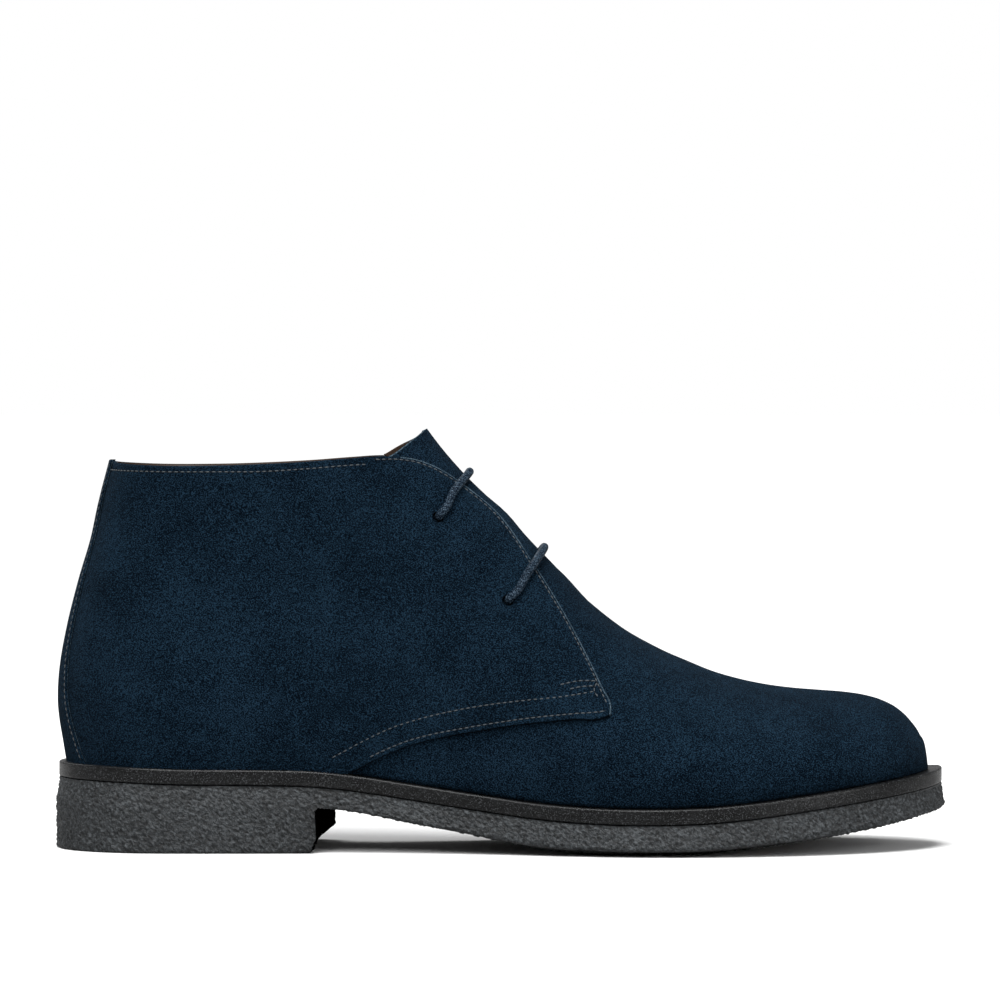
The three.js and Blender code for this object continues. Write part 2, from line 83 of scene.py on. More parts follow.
# x, half-width of the outsole
OUTLINE_LATERAL = [(42, 35), (70, 34.9), (95, 34.6), (120, 36.2), (145, 40.5), (170, 47.5),
                   (190, 52.3), (205, 53.8)]
OUTLINE_MEDIAL = [(42, 35), (70, 34), (95, 31.2), (120, 30), (145, 32.2), (170, 38.5),
                  (190, 45.5), (207, 50.4), (222, 52)]
# x, top of the midsole strip
STRIP_TOP = [(0, 29.4), (20, 28.8), (45, 28), (70, 27.8), (88, 27.3), (104, 25.6), (120, 23.2),
             (142, 20), (164, 17.2), (186, 15.9), (204, 15.8), (221, 16.4), (238, 18),
             (255, 20.2), (275, 22.9), (295, 25.8), (302, 27)]
# x, z of the underside's edge, belly below it
UNDERSIDE = [(87, 0.4, 0), (88.9, 5.5, 0), (88.4, 14.2, 0), (89.6, 15.4, 0), (98.5, 14.4, 0),
             (109, 12.6, 0), (120, 10.4, 0), (131, 8.5, 0.1), (142, 6.7, 0.3), (153, 5, 0.8),
             (164, 3.6, 1.4), (177, 2.5, 1.9), (188, 2, 2), (204, 1.9, 1.9), (216, 2.1, 2),
             (227, 2.8, 1.8), (238, 3.9, 1.5), (255, 6.2, 1.2), (274, 9, 1), (290, 11.8, 0.7),
             (303, 14, 0.4), (312, 15.6, 0.4)]
# x, top line of the vamp and tongue, going on above the collar
RIDGE = [(45, 640), (70, 420), (85, 300), (100, 210), (110, 172), (118, 153), (125.6, 141.7),
         (133, 132.4), (141, 123.8), (150.5, 114.4), (157.3, 107.6), (164, 100.6), (171, 93.2),
         (177.5, 86), (184.4, 80), (191, 74.8), (198, 70.5), (206, 66.3), (214.5, 62.6),
         (223, 59.2), (232, 56.6), (241, 54.7), (250, 53.5), (260, 52.6), (268, 51.8),
         (275, 50.7), (280.5, 49.2), (285.5, 46.6), (290, 42.6), (293.4, 37.8), (295.5, 32.6),
         (296.3, 26.6)]
# x, collar of the inner body and top edge of the tongue
TOP_LINE = [(16, 129.2), (67, 129.2), (85, 130.1), (100, 131.2), (109, 131.5), (114, 133),
            (120, 137.3), (125.6, 141.7)]
# x, collar edge of the quarters
COLLAR = [(-20, 129.9), (67, 129.9), (85, 130.8), (100, 131.9), (110, 132.4)]
# z, back of the upper under the back stay
HEEL_BACK = [(26, 6.9), (36, 4.9), (42, 3.9), (49, 3.3), (63, 4.3), (76, 6.7), (90, 10.3),
             (104, 14.3), (118, 17.4), (132, 21.2)]
# z, width of the hind part against its foot
HIND_WIDTH = [(26, 1), (36, 1.05), (48, 1.08), (62, 1.06), (78, 1), (95, 0.95), (112, 0.93),
              (132, 0.96)]
# x, z of the quarters' front edge and lower edge
QUARTER_FRONT = [(117, 132.1), (122, 131.1), (127, 129.2), (132, 126.4), (138.6, 121.6),
                 (144.3, 117), (150.2, 110.9), (155.2, 104.8), (159.8, 98), (164.9, 90.4),
                 (170.2, 82), (175.1, 73.6), (179.9, 64.8), (184.2, 56), (187.4, 49.4),
                 (187.6, 46.9), (185.4, 45.6)]
QUARTER_FOOT = [(175, 45), (162, 43.8), (149.5, 42), (137, 39.8), (127.5, 37.9), (120, 35.8),
                (113, 33), (107, 30.2), (101, 27)]
# x, z of each eyelet, and x where its lace bar crosses the top line
EYELETS = [(129.9, 112.2, 139.2), (153.4, 84.3, 164.5)]
# z, half-width of the back stay
STAY = [(20, 20), (34, 17), (60, 12), (90, 8.8), (118, 7.6), (130.6, 7.4)]


# ---- curves ----


def through(rows, column=1, key=0):
    """A smooth curve through a table, level past its ends, for arrays of numbers."""
    at = np.array([r[key] for r in rows], float)
    value = np.array([r[column] for r in rows], float)
    rate = np.diff(value) / np.diff(at)
    step = np.diff(at)
    slope = np.empty_like(at)
    slope[0], slope[-1] = rate[0], rate[-1]
    slope[1:-1] = (rate[:-1] * step[1:] + rate[1:] * step[:-1]) / (step[:-1] + step[1:])

    def curve(where):
        x = np.clip(where, at[0], at[-1])
        i = np.clip(np.searchsorted(at, x, side="right") - 1, 0, len(at) - 2)
        span = at[i + 1] - at[i]
        t = (x - at[i]) / span
        s = 1 - t
        start = (1 + 2 * t) * s * s * value[i] + t * s * s * span * slope[i]
        end = t * t * (3 - 2 * t) * value[i + 1] - t * t * s * span * slope[i + 1]
        return start + end

    return curve


def smoothstep(x, low, high):
    t = np.clip((x - low) / (high - low), 0, 1)
    return t * t * (3 - 2 * t)


def arch(t, roundness):
    """A quarter of a rounded arch: 1 at t = 0 and 0 at t = 1."""
    return (1 - np.clip(t, 0, 1) ** roundness) ** (1 / roundness)


strip_top = through(STRIP_TOP)
ridge_top = through(RIDGE)
top_line = through(TOP_LINE)
heel_back = through(HEEL_BACK)
hind_width = through(HIND_WIDTH)
stay_half = through(STAY)
belly_depth = through(UNDERSIDE[3:], 2)
HALVES = {-1: through(OUTLINE_LATERAL), 1: through(OUTLINE_MEDIAL)}
BALLS = {-1: OUTLINE_LATERAL[-1], 1: OUTLINE_MEDIAL[-1]}


def edge_y(side, x, inset):
    """The outsole's edge on one side, moved in by inset. side is -1 lateral or 1 medial."""
    x = np.asarray(x, float)
    ball_x, ball_half = BALLS[side]
    heel = (HEEL_HALF - inset) * arch((HEEL_CENTRE - x) / (HEEL_CENTRE - inset), HEEL_ROUND)
    tip = side * TOE_Y
    ahead = arch((x - ball_x) / (LENGTH - inset - ball_x), TOE_ROUND)
    toe = tip + (ball_half - inset - tip) * ahead
    mid = HALVES[side](x) - inset
    return side * np.where(x < HEEL_CENTRE, heel, np.where(x > ball_x, toe, mid))


def foot_z(x):
    return strip_top(x) + GAP


def centre_y(x):
    return TOE_Y * smoothstep(x, 140, LENGTH - UPPER_INSET)


def half_width(side, x, z):
    """Half-width of the lasted form from centre_y at x and height z."""
    foot = side * (edge_y(side, x, UPPER_INSET) - centre_y(x))
    height = np.maximum(ridge_top(x) - foot_z(x), 1e-6)
    rise = (z - foot_z(x)) / height
    hind = 1 - smoothstep(x, 85, 150)
    swell = np.clip(rise / SWELL_REACH, 0, 1)
    fore = 1 + 4 * SWELL * swell * (1 - swell)
    return foot * (hind * hind_width(z) + (1 - hind) * fore) * arch(rise, CROWN_ROUND)


def skin(side, p, z):
    """Points of the lasted form. p is x in front of HIND_X, and runs round the heel behind it."""
    p, z = np.broadcast_arrays(np.asarray(p, float), np.asarray(z, float))
    turn = (math.pi / 2) * np.clip((HIND_X - p) / HIND_RUN, 0, 1)
    back = HIND_X - heel_back(z)
    hind_x = HIND_X - back * np.sin(turn) ** (2 / HIND_ROUND)
    hind_y = half_width(side, HIND_X, z) * np.cos(turn) ** (2 / HIND_ROUND)
    x = np.where(p < HIND_X, hind_x, p)
    y = np.where(p < HIND_X, hind_y, half_width(side, np.maximum(p, HIND_X), z))
    return np.stack([x, centre_y(x) + side * y, z], axis=-1)


def unit(vectors):
    return vectors / np.maximum(np.linalg.norm(vectors, axis=-1, keepdims=True), 1e-9)


def run_along(line):
    """Distance along a line at each of its points."""
    return np.concatenate([[0], np.cumsum(np.linalg.norm(np.diff(line, axis=0), axis=1))])


def skin_normal(side, p, z, step=0.2):
    """Outward normals away from the top line and the very back."""
    low = np.maximum(p - step, HIND_X - HIND_RUN + 1e-4)
    along = skin(side, p + step, z) - skin(side, low, z)
    up = skin(side, p, z + step) - skin(side, p, z - step)
    return unit(np.cross(along, up) * (-side))


# ---- meshes ----


def placed(name, data):
    """An object in the scene for a mesh, a camera or a lamp."""
    obj = bpy.data.objects.new(name, data)
    bpy.context.scene.collection.objects.link(obj)
    return obj


def mesh_object(name, vertices, faces, materials, face_material=None, smooth=True):
    """An object from vertices in drawing millimetres, and faces as lists of vertex numbers."""
    points = (np.asarray(vertices, float).reshape(-1, 3) + SHIFT) * MM
    mesh = bpy.data.meshes.new(name)
    mesh.from_pydata(points.tolist(), [], [list(map(int, f)) for f in faces])
    for material in materials:
        mesh.materials.append(material)
    if face_material is not None:
        mesh.polygons.foreach_set("material_index", np.asarray(face_material, np.int32))
    mesh.polygons.foreach_set("use_smooth", np.full(len(mesh.polygons), smooth))
    return placed(name, mesh)


JOIN = 0.002  # points that share a cell of this size are one


class Build:
    """Collects grids of points into one mesh, joining points that lie together."""

    def __init__(self):
        self.points, self.quads, self.kinds = [], [], []
        self.count = 0

    def grid(self, points, kind=0, flip=False):
        """A grid of points, rows by columns by 3. Faces look along rows cross columns."""
        rows, columns = points.shape[:2]
        index = np.arange(rows * columns).reshape(rows, columns) + self.count
        a, b = index[:-1, :-1], index[:-1, 1:]
        c, d = index[1:, 1:], index[1:, :-1]
        quads = np.stack([a, d, c, b] if flip else [a, b, c, d], axis=-1).reshape(-1, 4)
        self.points.append(points.reshape(-1, 3))
        self.quads.append(quads)
        self.kinds.append(np.full(len(quads), kind) if np.ndim(kind) == 0 else np.ravel(kind))
        self.count += rows * columns

    def object(self, name, materials):
        points = np.concatenate(self.points)
        key = np.round(points / JOIN).astype(np.int64)
        _, first, inverse = np.unique(key, axis=0, return_index=True, return_inverse=True)
        inverse = inverse.reshape(-1)
        faces, kinds = [], []
        for quad, kind in zip(inverse[np.concatenate(self.quads)], np.concatenate(self.kinds)):
            face = [v for i, v in enumerate(quad) if v != quad[i - 1]]
            if len(set(face)) >= 3 and len(set(face)) == len(face):
                faces.append(face)
                kinds.append(kind)
        return mesh_object(name, points[first], faces, materials, kinds)


def curve_points(rows, steps):
    """Evenly spaced points along a smooth line through rows of coordinates."""
    rows = np.asarray(rows, float)
    run = run_along(rows)
    fine = np.linspace(0, run[-1], 40 * len(rows))
    line = np.stack([through(list(zip(run, rows[:, k])))(fine) for k in range(rows.shape[1])], -1)
    length = run_along(line)
    want = np.asarray(steps, float) if np.ndim(steps) else np.linspace(0, 1, steps)
    want = want * length[-1]
    return np.stack([np.interp(want, length, line[:, k]) for k in range(rows.shape[1])], -1)


# ---- materials ----


class Nodes:
    """A material with its Principled shader, and short ways to add and link nodes."""

    def __init__(self, name, **sockets):
        self.material = bpy.data.materials.new(name)
        self.material.use_nodes = True
        self.tree = self.material.node_tree
        self.shader = self.tree.nodes["Principled BSDF"]
        for key, value in sockets.items():
            self.shader.inputs[key.replace("_", " ")].default_value = value
        self.place = self.add("ShaderNodeTexCoord").outputs["Object"]

    def add(self, kind, settings=None, **sockets):
        node = self.tree.nodes.new(kind)
        for key, value in (settings or {}).items():
            setattr(node, key, value)
        for key, value in sockets.items():
            self.put(node.inputs[key.replace("_", " ")], value)
        return node

    def put(self, socket, value):
        if isinstance(value, bpy.types.NodeSocket):
            self.tree.links.new(value, socket)
        else:
            socket.default_value = value

    def stretched(self, scale, turn=0.0, kind="POINT"):
        """Places scaled and turned round y. The kind TEXTURE turns first, and divides."""
        return self.add("ShaderNodeMapping", {"vector_type": kind}, Vector=self.place,
                        Rotation=(0, turn, 0), Scale=scale).outputs["Vector"]

    def noise(self, scale, detail=3.0, rough=0.55, distortion=0.0, vector=None):
        node = self.add("ShaderNodeTexNoise", Scale=scale, Detail=detail, Roughness=rough,
                        Distortion=distortion, Vector=vector or self.place)
        return node.outputs["Fac"]

    def cells(self, scale):
        node = self.add("ShaderNodeTexVoronoi", {"feature": "SMOOTH_F1"}, Scale=scale,
                        Vector=self.place)
        return node.outputs["Distance"]

    def ramp(self, factor, *stops):
        node = self.add("ShaderNodeValToRGB", Fac=factor)
        elements = node.color_ramp.elements
        while len(elements) < len(stops):
            elements.new(0.5)
        for element, (at, colour) in zip(elements, stops):
            element.position = at
            level = colour if isinstance(colour, tuple) else (colour,) * 3
            element.color = (*level, 1)
        return node.outputs["Color"]

    def weigh(self, *layers, level=0.0):
        """A level plus the sum of sockets times their weights."""
        for socket, weight in layers:
            node = self.add("ShaderNodeMath", {"operation": "MULTIPLY_ADD"})
            for slot, value in zip(node.inputs, (socket, weight, level)):
                self.put(slot, value)
            level = node.outputs[0]
        return level

    def mix(self, factor, a, b, blend="MIX"):
        node = self.add("ShaderNodeMix", {"data_type": "RGBA", "blend_type": blend})
        self.put(node.inputs["Factor"], factor)
        self.put(node.inputs[6], a if isinstance(a, bpy.types.NodeSocket) else (*a, 1))
        self.put(node.inputs[7], b if isinstance(b, bpy.types.NodeSocket) else (*b, 1))
        return node.outputs[2]

    def bump(self, *layers):
        """Bumps one over the other: (height socket, distance in metres, strength)."""
        normal = None
        for height, distance, strength in layers:
            node = self.add("ShaderNodeBump", Height=height, Distance=distance, Strength=strength)
            if normal:
                self.put(node.inputs["Normal"], normal)
            normal = node.outputs["Normal"]
        self.put(self.shader.inputs["Normal"], normal)

    def colour(self, value):
        self.put(self.shader.inputs["Base Color"], value)

    def rough(self, value):
        self.put(self.shader.inputs["Roughness"], value)


def suede(name, dark, light):
    m = Nodes(name, Roughness=0.97, Sheen_Weight=0.015, Sheen_Roughness=0.5,
              Sheen_Tint=(0.45, 0.62, 0.8, 1), Specular_IOR_Level=0.02)
    cloud = m.noise(50, 3, 0.55, 0.4)
    brushed = m.noise(240, 3, 0.6, 0.8, m.stretched((1.0, 1.0, 1.6)))
    nap = m.noise(2500, 1, 0.5, 0.3)
    fleck = m.noise(4300, 1, 0.5)
    tone = m.weigh((nap, 0.6), (fleck, 0.4), (cloud, 0.13), (brushed, 0.07), level=-0.1)
    middle = tuple(0.86 * a + 0.14 * b for a, b in zip(dark, light))
    m.colour(m.ramp(tone, (0.41, dark), (0.5, middle), (0.58, light)))
    m.bump((brushed, 0.0008, 0.3), (nap, 0.0006, 0.7), (fleck, 0.0003, 0.6))
    return m.material


def leather(name, dark, light, roughness):
    m = Nodes(name, Roughness=roughness, Specular_IOR_Level=0.4)
    m.colour(m.ramp(m.noise(45, 4), (0.3, dark), (0.75, light)))
    m.bump((m.noise(900, 3), 0.0002, 0.3), (m.cells(700), 0.00018, 0.35))
    return m.material


def thread(name, colour):
    m = Nodes(name, Roughness=0.6, Sheen_Weight=0.2)
    twist = m.noise(2500, 2)
    m.colour(m.ramp(twist, (0.35, tuple(c * 0.6 for c in colour)), (0.65, colour)))
    m.bump((twist, 0.0001, 0.5))
    return m.material


def strip_material():
    m = Nodes("edge_strip", Roughness=0.3, Specular_IOR_Level=0.28)
    streak = m.noise(60, 3, 0.6, 0.0, m.stretched((1, 1, 9)))
    # light grey flecks mixed into the black are painted glints on the strip's gloss; the same
    # noise also bumps it
    glint_speck = m.noise(2600, 2, 0.6)
    base = m.ramp(streak, (0.35, (0.0006, 0.0007, 0.0008)), (0.7, (0.004, 0.0043, 0.0047)))
    m.colour(m.mix(m.ramp(glint_speck, (0.56, 0.0), (0.68, 0.9)), base, (0.085, 0.09, 0.096)))
    m.rough(m.ramp(m.noise(120, 4), (0.3, 0.18), (0.75, 0.42)))
    m.bump((m.noise(260, 3), 0.0003, 0.2), (glint_speck, 0.0002, 0.5))
    return m.material


def crepe(name, dark, middle, light, gloss):
    m = Nodes(name, Roughness=0.5, Specular_IOR_Level=gloss)
    worm = m.noise(1250, 3, 0.55, 0.8, m.stretched((1.8, 1, 1), 0.64, "TEXTURE"))
    fine = m.noise(2800, 2, 0.6)
    cloud = m.noise(50, 3)
    # the worm and fine noises both raise the bump and lighten the colour: besides the rubber's own
    # mottling, the tone holds painted highlights on the raised grain and painted shade in its pits
    shade = m.weigh((worm, 0.6), (fine, 0.3), (cloud, 0.12))
    m.colour(m.ramp(shade, (0.4, dark), (0.5, middle), (0.62, light)))
    m.rough(m.ramp(fine, (0.35, 0.3), (0.65, 0.6)))
    m.bump((worm, 0.0008, 0.8), (fine, 0.0003, 0.7))
    return m.material


def lace_material():
    m = Nodes("lace_cord", Roughness=0.4, Specular_IOR_Level=0.04)
    weave = m.noise(2300, 2, 0.6)
    m.colour(m.ramp(weave, (0.4, (0.0015, 0.004, 0.009)), (0.53, (0.012, 0.024, 0.04)),
                    (0.64, (0.085, 0.125, 0.17))))
    m.bump((weave, 0.0003, 0.5))
    return m.material


NAVY_DARK = (0.0007, 0.0028, 0.006)
NAVY_LIGHT = (0.0126, 0.0322, 0.0565)
SUEDE = suede("suede", NAVY_DARK, NAVY_LIGHT)
# the cut edge's own paler colour, brightened further into a painted highlight
CUT_EDGE_AND_HIGHLIGHT = suede("suede_cut_edge_and_painted_highlight", (0.019, 0.035, 0.05), (0.1, 0.15, 0.19))
# near-black suede: a painted shadow under the quarters' lower edges
SUEDE_SHADOW = suede("suede_painted_shadow", (0.0001, 0.0004, 0.0009), (0.002, 0.0055, 0.01))
LINING = leather("lining_leather", (0.045, 0.026, 0.017), (0.085, 0.052, 0.034), 0.55)
FOOTBED = leather("footbed_leather", (0.06, 0.036, 0.022), (0.12, 0.075, 0.048), 0.6)
THREAD = thread("thread", (0.062, 0.076, 0.086))
# near-black: painted shade on the walls of the eyelet holes and the slit, and in the needle holes
PAINTED_HOLE_SHADE = leather("hole_painted_shade", (0.001, 0.0015, 0.0025), (0.002, 0.003, 0.004), 0.9)
STRIP = strip_material()
CREPE = crepe("crepe_rubber", (0.0045, 0.005, 0.0055), (0.018, 0.0205, 0.0225),
              (0.078, 0.087, 0.094), 0.4)
# near-black crepe without gloss: painted shade on the heel's breast, which faces away from the
# light
CREPE_BREAST_SHADE = crepe("crepe_breast_painted_shade", (0.0003, 0.0003, 0.0002), (0.0008, 0.0007, 0.0005),
                     (0.004, 0.0035, 0.002), 0.0)
LACE = lace_material()


def ready(obj, slot_name, *nodes):
    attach(obj, "root")
    if nodes:
        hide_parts(*nodes)


# ---- camera, floor and light ----


def look_along(obj, place, way):
    obj.location = place
    obj.rotation_euler = Vector(way).to_track_quat("-Z", "Y").to_euler()


LAMPS_AIM = Vector((0, 0, 0.06))
FLOOR_HALF = 40  # metres


def lamp(name, energy, place, size=None):
    """A sun, or a softbox of a given size."""
    data = bpy.data.lights.new(name, "AREA" if size else "SUN")
    data.energy = energy
    if size:
        data.shape = "RECTANGLE"
        data.size, data.size_y = size
    else:
        data.angle = math.radians(30)
    look_along(placed(name, data), place, LAMPS_AIM - Vector(place))


def stage():
    scene = bpy.context.scene
    camera_data = bpy.data.cameras.new("camera")
    camera_data.sensor_width = 36
    camera_data.lens = 212.3
    camera_data.clip_end = 50
    scene.camera = placed("camera", camera_data)
    eye = (np.array([150.5, -2000, 153.3]) + SHIFT) * MM
    aim = (np.array([150.5, 0, 117.5]) + SHIFT) * MM
    look_along(scene.camera, eye, aim - eye)

    pale = Nodes("floor_paper", Roughness=0.9, Specular_IOR_Level=0.1)
    paper = pale.ramp(pale.noise(3, 2), (0.3, 0.985), (0.7, 0.998))
    seen = pale.add("ShaderNodeLightPath").outputs["Is Camera Ray"]
    pale.colour(pale.mix(seen, (0.42, 0.42, 0.42), paper))
    corners = [(x, y, 0) for y in (-FLOOR_HALF, FLOOR_HALF) for x in (-FLOOR_HALF, FLOOR_HALF)]
    mesh_object("floor", np.array(corners) / MM - SHIFT, [(0, 1, 3, 2)],
                         [pale.material], smooth=False)

    # the background is brighter to the camera than it is as a light
    scene.world = bpy.data.worlds.new("world")
    scene.world.use_nodes = True
    tree = scene.world.node_tree
    soft, seen = tree.nodes["Background"], tree.nodes.new("ShaderNodeBackground")
    for background, strength in ((soft, 0.3), (seen, 1.0)):
        background.inputs["Color"].default_value = (1, 1, 1, 1)
        background.inputs["Strength"].default_value = strength
    path = tree.nodes.new("ShaderNodeLightPath")
    mix = tree.nodes.new("ShaderNodeMixShader")
    sources = path.outputs["Is Camera Ray"], soft.outputs[0], seen.outputs[0]
    for source, socket in zip(sources, mix.inputs):
        tree.links.new(source, socket)
    tree.links.new(mix.outputs[0], tree.nodes["World Output"].inputs["Surface"])

    lamp("sun", 2.65, (-0.1, -0.9, 2.2))
    lamp("key_softbox", 6.5, (-0.4, -1.1, 0.9), (0.6, 0.6))
    lamp("fill_softbox", 5, (1.0, -0.9, 0.45), (0.6, 0.6))
    lamp("rim_softbox", 8, (-0.5, 0.9, 1.1), (0.8, 0.5))
    scene.view_settings.view_transform = "Standard"
    scene.cycles.max_bounces = 6


stage()


# ---- the upper ----

HIND_P = HIND_X - HIND_RUN
FOOT_LEVEL = 28.0  # height at which the heel's foot line is laid out
TONGUE_BACK = (107.0, 123.0)  # the slope of the tongue's top edge, in x
TONGUE_FAR = 1.7  # how much higher its inner half stands
TONGUE_EDGE = 108.5  # x where the rim turns from lining to cut suede, pale with a painted highlight
TONGUE_RISE = 112.0  # x behind which the top edge's normals are level
RIM_BAND = 0.5  # width of the tongue's pale cut edge, a painted highlight over the cut's own colour


def columns_of(side, stations, rows):
    """Columns of the lasted form from foot to top line: stations x rows + 1 x 3."""
    fine = np.sin(np.linspace(0, math.pi / 2, 161))
    columns = []
    for p in stations:
        if p >= LENGTH - UPPER_INSET - 1e-6:
            tip = [LENGTH - UPPER_INSET, TOE_Y, foot_z(LENGTH - UPPER_INSET)]
            columns.append(np.tile(np.array(tip, float), (rows + 1, 1)))
            continue
        at = skin(side, p, FOOT_LEVEL)[..., 0] if p < HIND_X else p
        foot = foot_z(at)
        closed = p >= TONGUE_TIP[0]
        top = ridge_top(p) if closed else top_line(max(p, HIND_X))
        if side > 0 and TONGUE_BACK[0] < p < TONGUE_BACK[1]:
            share = (p - TONGUE_BACK[0]) / (TONGUE_BACK[1] - TONGUE_BACK[0])
            top = top + TONGUE_FAR * math.sin(math.pi * share) ** 2
        line = skin(side, p, foot + (top - foot) * fine)
        if closed:
            line[-1] = [p, centre_y(p), top]
        run = run_along(line)
        want = np.append(np.linspace(0, run[-1] - RIM_BAND, rows), run[-1])
        columns.append(np.stack([np.interp(want, run, line[:, k]) for k in range(3)], -1))
    return np.array(columns)


def form_normals(own, other, side, closed):
    """Normals of one side's columns, with those of the other side to hand."""
    ahead = np.concatenate([own[1:], own[-1:]])
    behind = np.concatenate([other[1:2], own[:-1]])
    above = np.concatenate([own[:, 1:], np.where(closed[:, None, None], other[:, -2:-1],
                                                 own[:, -1:])], axis=1)
    below = np.concatenate([own[:, :1], own[:, :-1]], axis=1)
    normal = np.cross(ahead - behind, above - below) * (-side)
    normal[:, 0, 2] = 0
    level = ~closed & (own[:, -1, 0] < TONGUE_RISE)
    normal[level, -1, 2] = 0
    normal[-1] = [1, 0, 0]
    return unit(normal)


def waves(points, scale, seed):
    """Smooth noise in about -1 to 1 at each point, with features of about `scale` mm."""
    flat = points.reshape(-1, 3) / scale + seed
    return np.array([noise.noise(Vector(p)) for p in flat]).reshape(points.shape[:-1])


def trough(points, start, end, width, depth):
    """A soft crease between two places in the side view, deepest in its middle."""
    a, b = np.array(start, float), np.array(end, float)
    flat = points[..., [0, 2]]
    along = np.clip(((flat - a) @ (b - a)) / ((b - a) @ (b - a)), 0, 1)
    away = np.linalg.norm(flat - (a + along[..., None] * (b - a)), axis=-1)
    return depth * np.exp(-((away / width) ** 2)) * np.sin(math.pi * np.clip(along, 0.02, 0.98))


# start and end in the side view, width and depth: the ankle's soft folds, the vamp's bend, and
# last the low swells of the tongue in front of each lace bar
CREASES = [((24, 122), (29, 92), 6, 0.45), ((52, 118), (70, 84), 9, 0.35),
           ((30, 58), (66, 46), 7, 0.3), ((96, 84), (122, 62), 10, 0.3),
           ((186, 73), (197, 40), 5, 0.35), ((205, 62), (214, 34), 5, 0.3),
           ((224, 55), (229, 32), 4.5, 0.22), ((132, 60), (168, 57), 6, 0.2),
           ((146, 119), (158, 107), 5, -0.55), ((170, 95), (180, 83), 5, -0.5)]


WAVES = [(0.22, 26, 3.1), (0.1, 9, 7.7)]  # depth, size and seed
RELIEF_FOOT = 8.0  # height above the strip over which the relief sets in
RELIEF_TOE = (285, 296)  # x between which it dies away


def relief(points):
    """How far the leather stands off the lasted form, in mm, for its slight waves."""
    wave = sum(depth * waves(points, size, seed) for depth, size, seed in WAVES)
    for crease in CREASES:
        wave = wave - trough(points, *crease)
    fade = smoothstep(points[..., 2] - foot_z(points[..., 0]), 0, RELIEF_FOOT)
    return wave * fade * (1 - smoothstep(points[..., 0], *RELIEF_TOE))


def upper_shell(rows=70):
    hind = np.linspace(HIND_P, HIND_X, 25)
    waist = HIND_X + (TONGUE_TIP[0] - HIND_X) * np.sin(np.linspace(0, math.pi / 2, 65))[1:]
    toe = np.sin(np.linspace(0, math.pi / 2, 121))[1:]
    stations = [*hind, *waist, *(TONGUE_TIP[0] + (LENGTH - UPPER_INSET - TONGUE_TIP[0]) * toe)]
    closed = np.array(stations) >= TONGUE_TIP[0] - 1e-6
    sides = {s: columns_of(s, stations, rows) for s in (-1, 1)}
    normals = {s: form_normals(sides[s], sides[-s], s, closed) for s in (-1, 1)}
    shared = unit(normals[-1][closed, -1] + normals[1][closed, -1])
    for s in (-1, 1):
        normals[s][closed, -1] = shared
    tip = int(np.argmax(closed))
    tongue = int(np.searchsorted(stations, TONGUE_EDGE))
    build = Build()
    for s in (-1, 1):
        lift = relief(sides[s])[..., None]
        outer = sides[s] + normals[s] * lift
        inner = sides[s] + normals[s] * (lift - UPPER_WALL)
        kinds = np.zeros((len(stations) - 1, rows), int)
        # the tongue's top row takes the pale cut edge with its painted highlight
        kinds[tongue:tip, -1] = 2
        build.grid(outer, kinds, flip=s < 0)
        build.grid(inner, 1, flip=s > 0)
        foot = np.stack([inner[:, 0], outer[:, 0]])
        build.grid(foot, 1, flip=s > 0)
        rim = np.stack([outer[: tip + 1, -1], inner[: tip + 1, -1]])
        build.grid(rim[:, : tongue + 1], 1, flip=s > 0)
        build.grid(rim[:, tongue:], 2, flip=s > 0)
    return build.object("vamp_and_lining", [SUEDE, LINING, CUT_EDGE_AND_HIGHLIGHT])


ready(upper_shell(), "suede", "upper")


# ---- the quarters ----


def spaced(count, dense, length):
    """Shares from 0 to 1: even, with extra steps at the given distances from each dense end."""
    shares = list(np.linspace(0, 1, count))
    near = np.array([0.06, 0.14, 0.24, 0.36, 0.5, 0.7, 0.9, 1.05, 1.2, 1.35, 1.5, 1.7, 1.9, 2.15,
                     2.5, 2.9, 3.4, 4.0, 4.7]) / length
    keep = [v for v in shares if not (dense[0] and 0 < v < 5 / length)
            and not (dense[1] and 1 > v > 1 - 5 / length)]
    if dense[0]:
        keep += list(near)
    if dense[1]:
        keep += list(1 - near)
    return np.array(sorted(keep))


def away_from(points, line):
    """Distance of flat points from a line through rows of x and z."""
    best = np.full(points.shape[:-1], 1e9)
    for start, run in zip(line[:-1], np.diff(line, axis=0)):
        t = np.clip(((points - start) @ run) / (run @ run), 0, 1)
        best = np.minimum(best, np.linalg.norm(points - (start + t[..., None] * run), axis=-1))
    return best


COLLAR_BACK = [(HIND_P, 130.6), (-8, 130.3), (4, 130)]  # it rises a little to the back stay
QUARTER_CORNER = (187.3, 46.6)
FOOT_LEAVES = 96.0  # x where the quarter's lower edge leaves the strip


def quarter_edges():
    """The quarter's lower edge, collar and front edge in the flattened side view."""
    hind = np.linspace(HIND_P, FOOT_LEAVES, 20)
    foot = [(p, float(foot_z(skin(-1, p, FOOT_LEVEL)[..., 0])) + 0.02) for p in hind]
    low = foot + [r for r in reversed(QUARTER_FOOT) if r[0] > FOOT_LEAVES]
    low += [QUARTER_FRONT[-1], QUARTER_CORNER]
    front = [QUARTER_CORNER] + [r for r in reversed(QUARTER_FRONT) if r[1] > 48]
    collar = COLLAR_BACK + COLLAR[1:] + [QUARTER_FRONT[0]]
    return low, collar, front


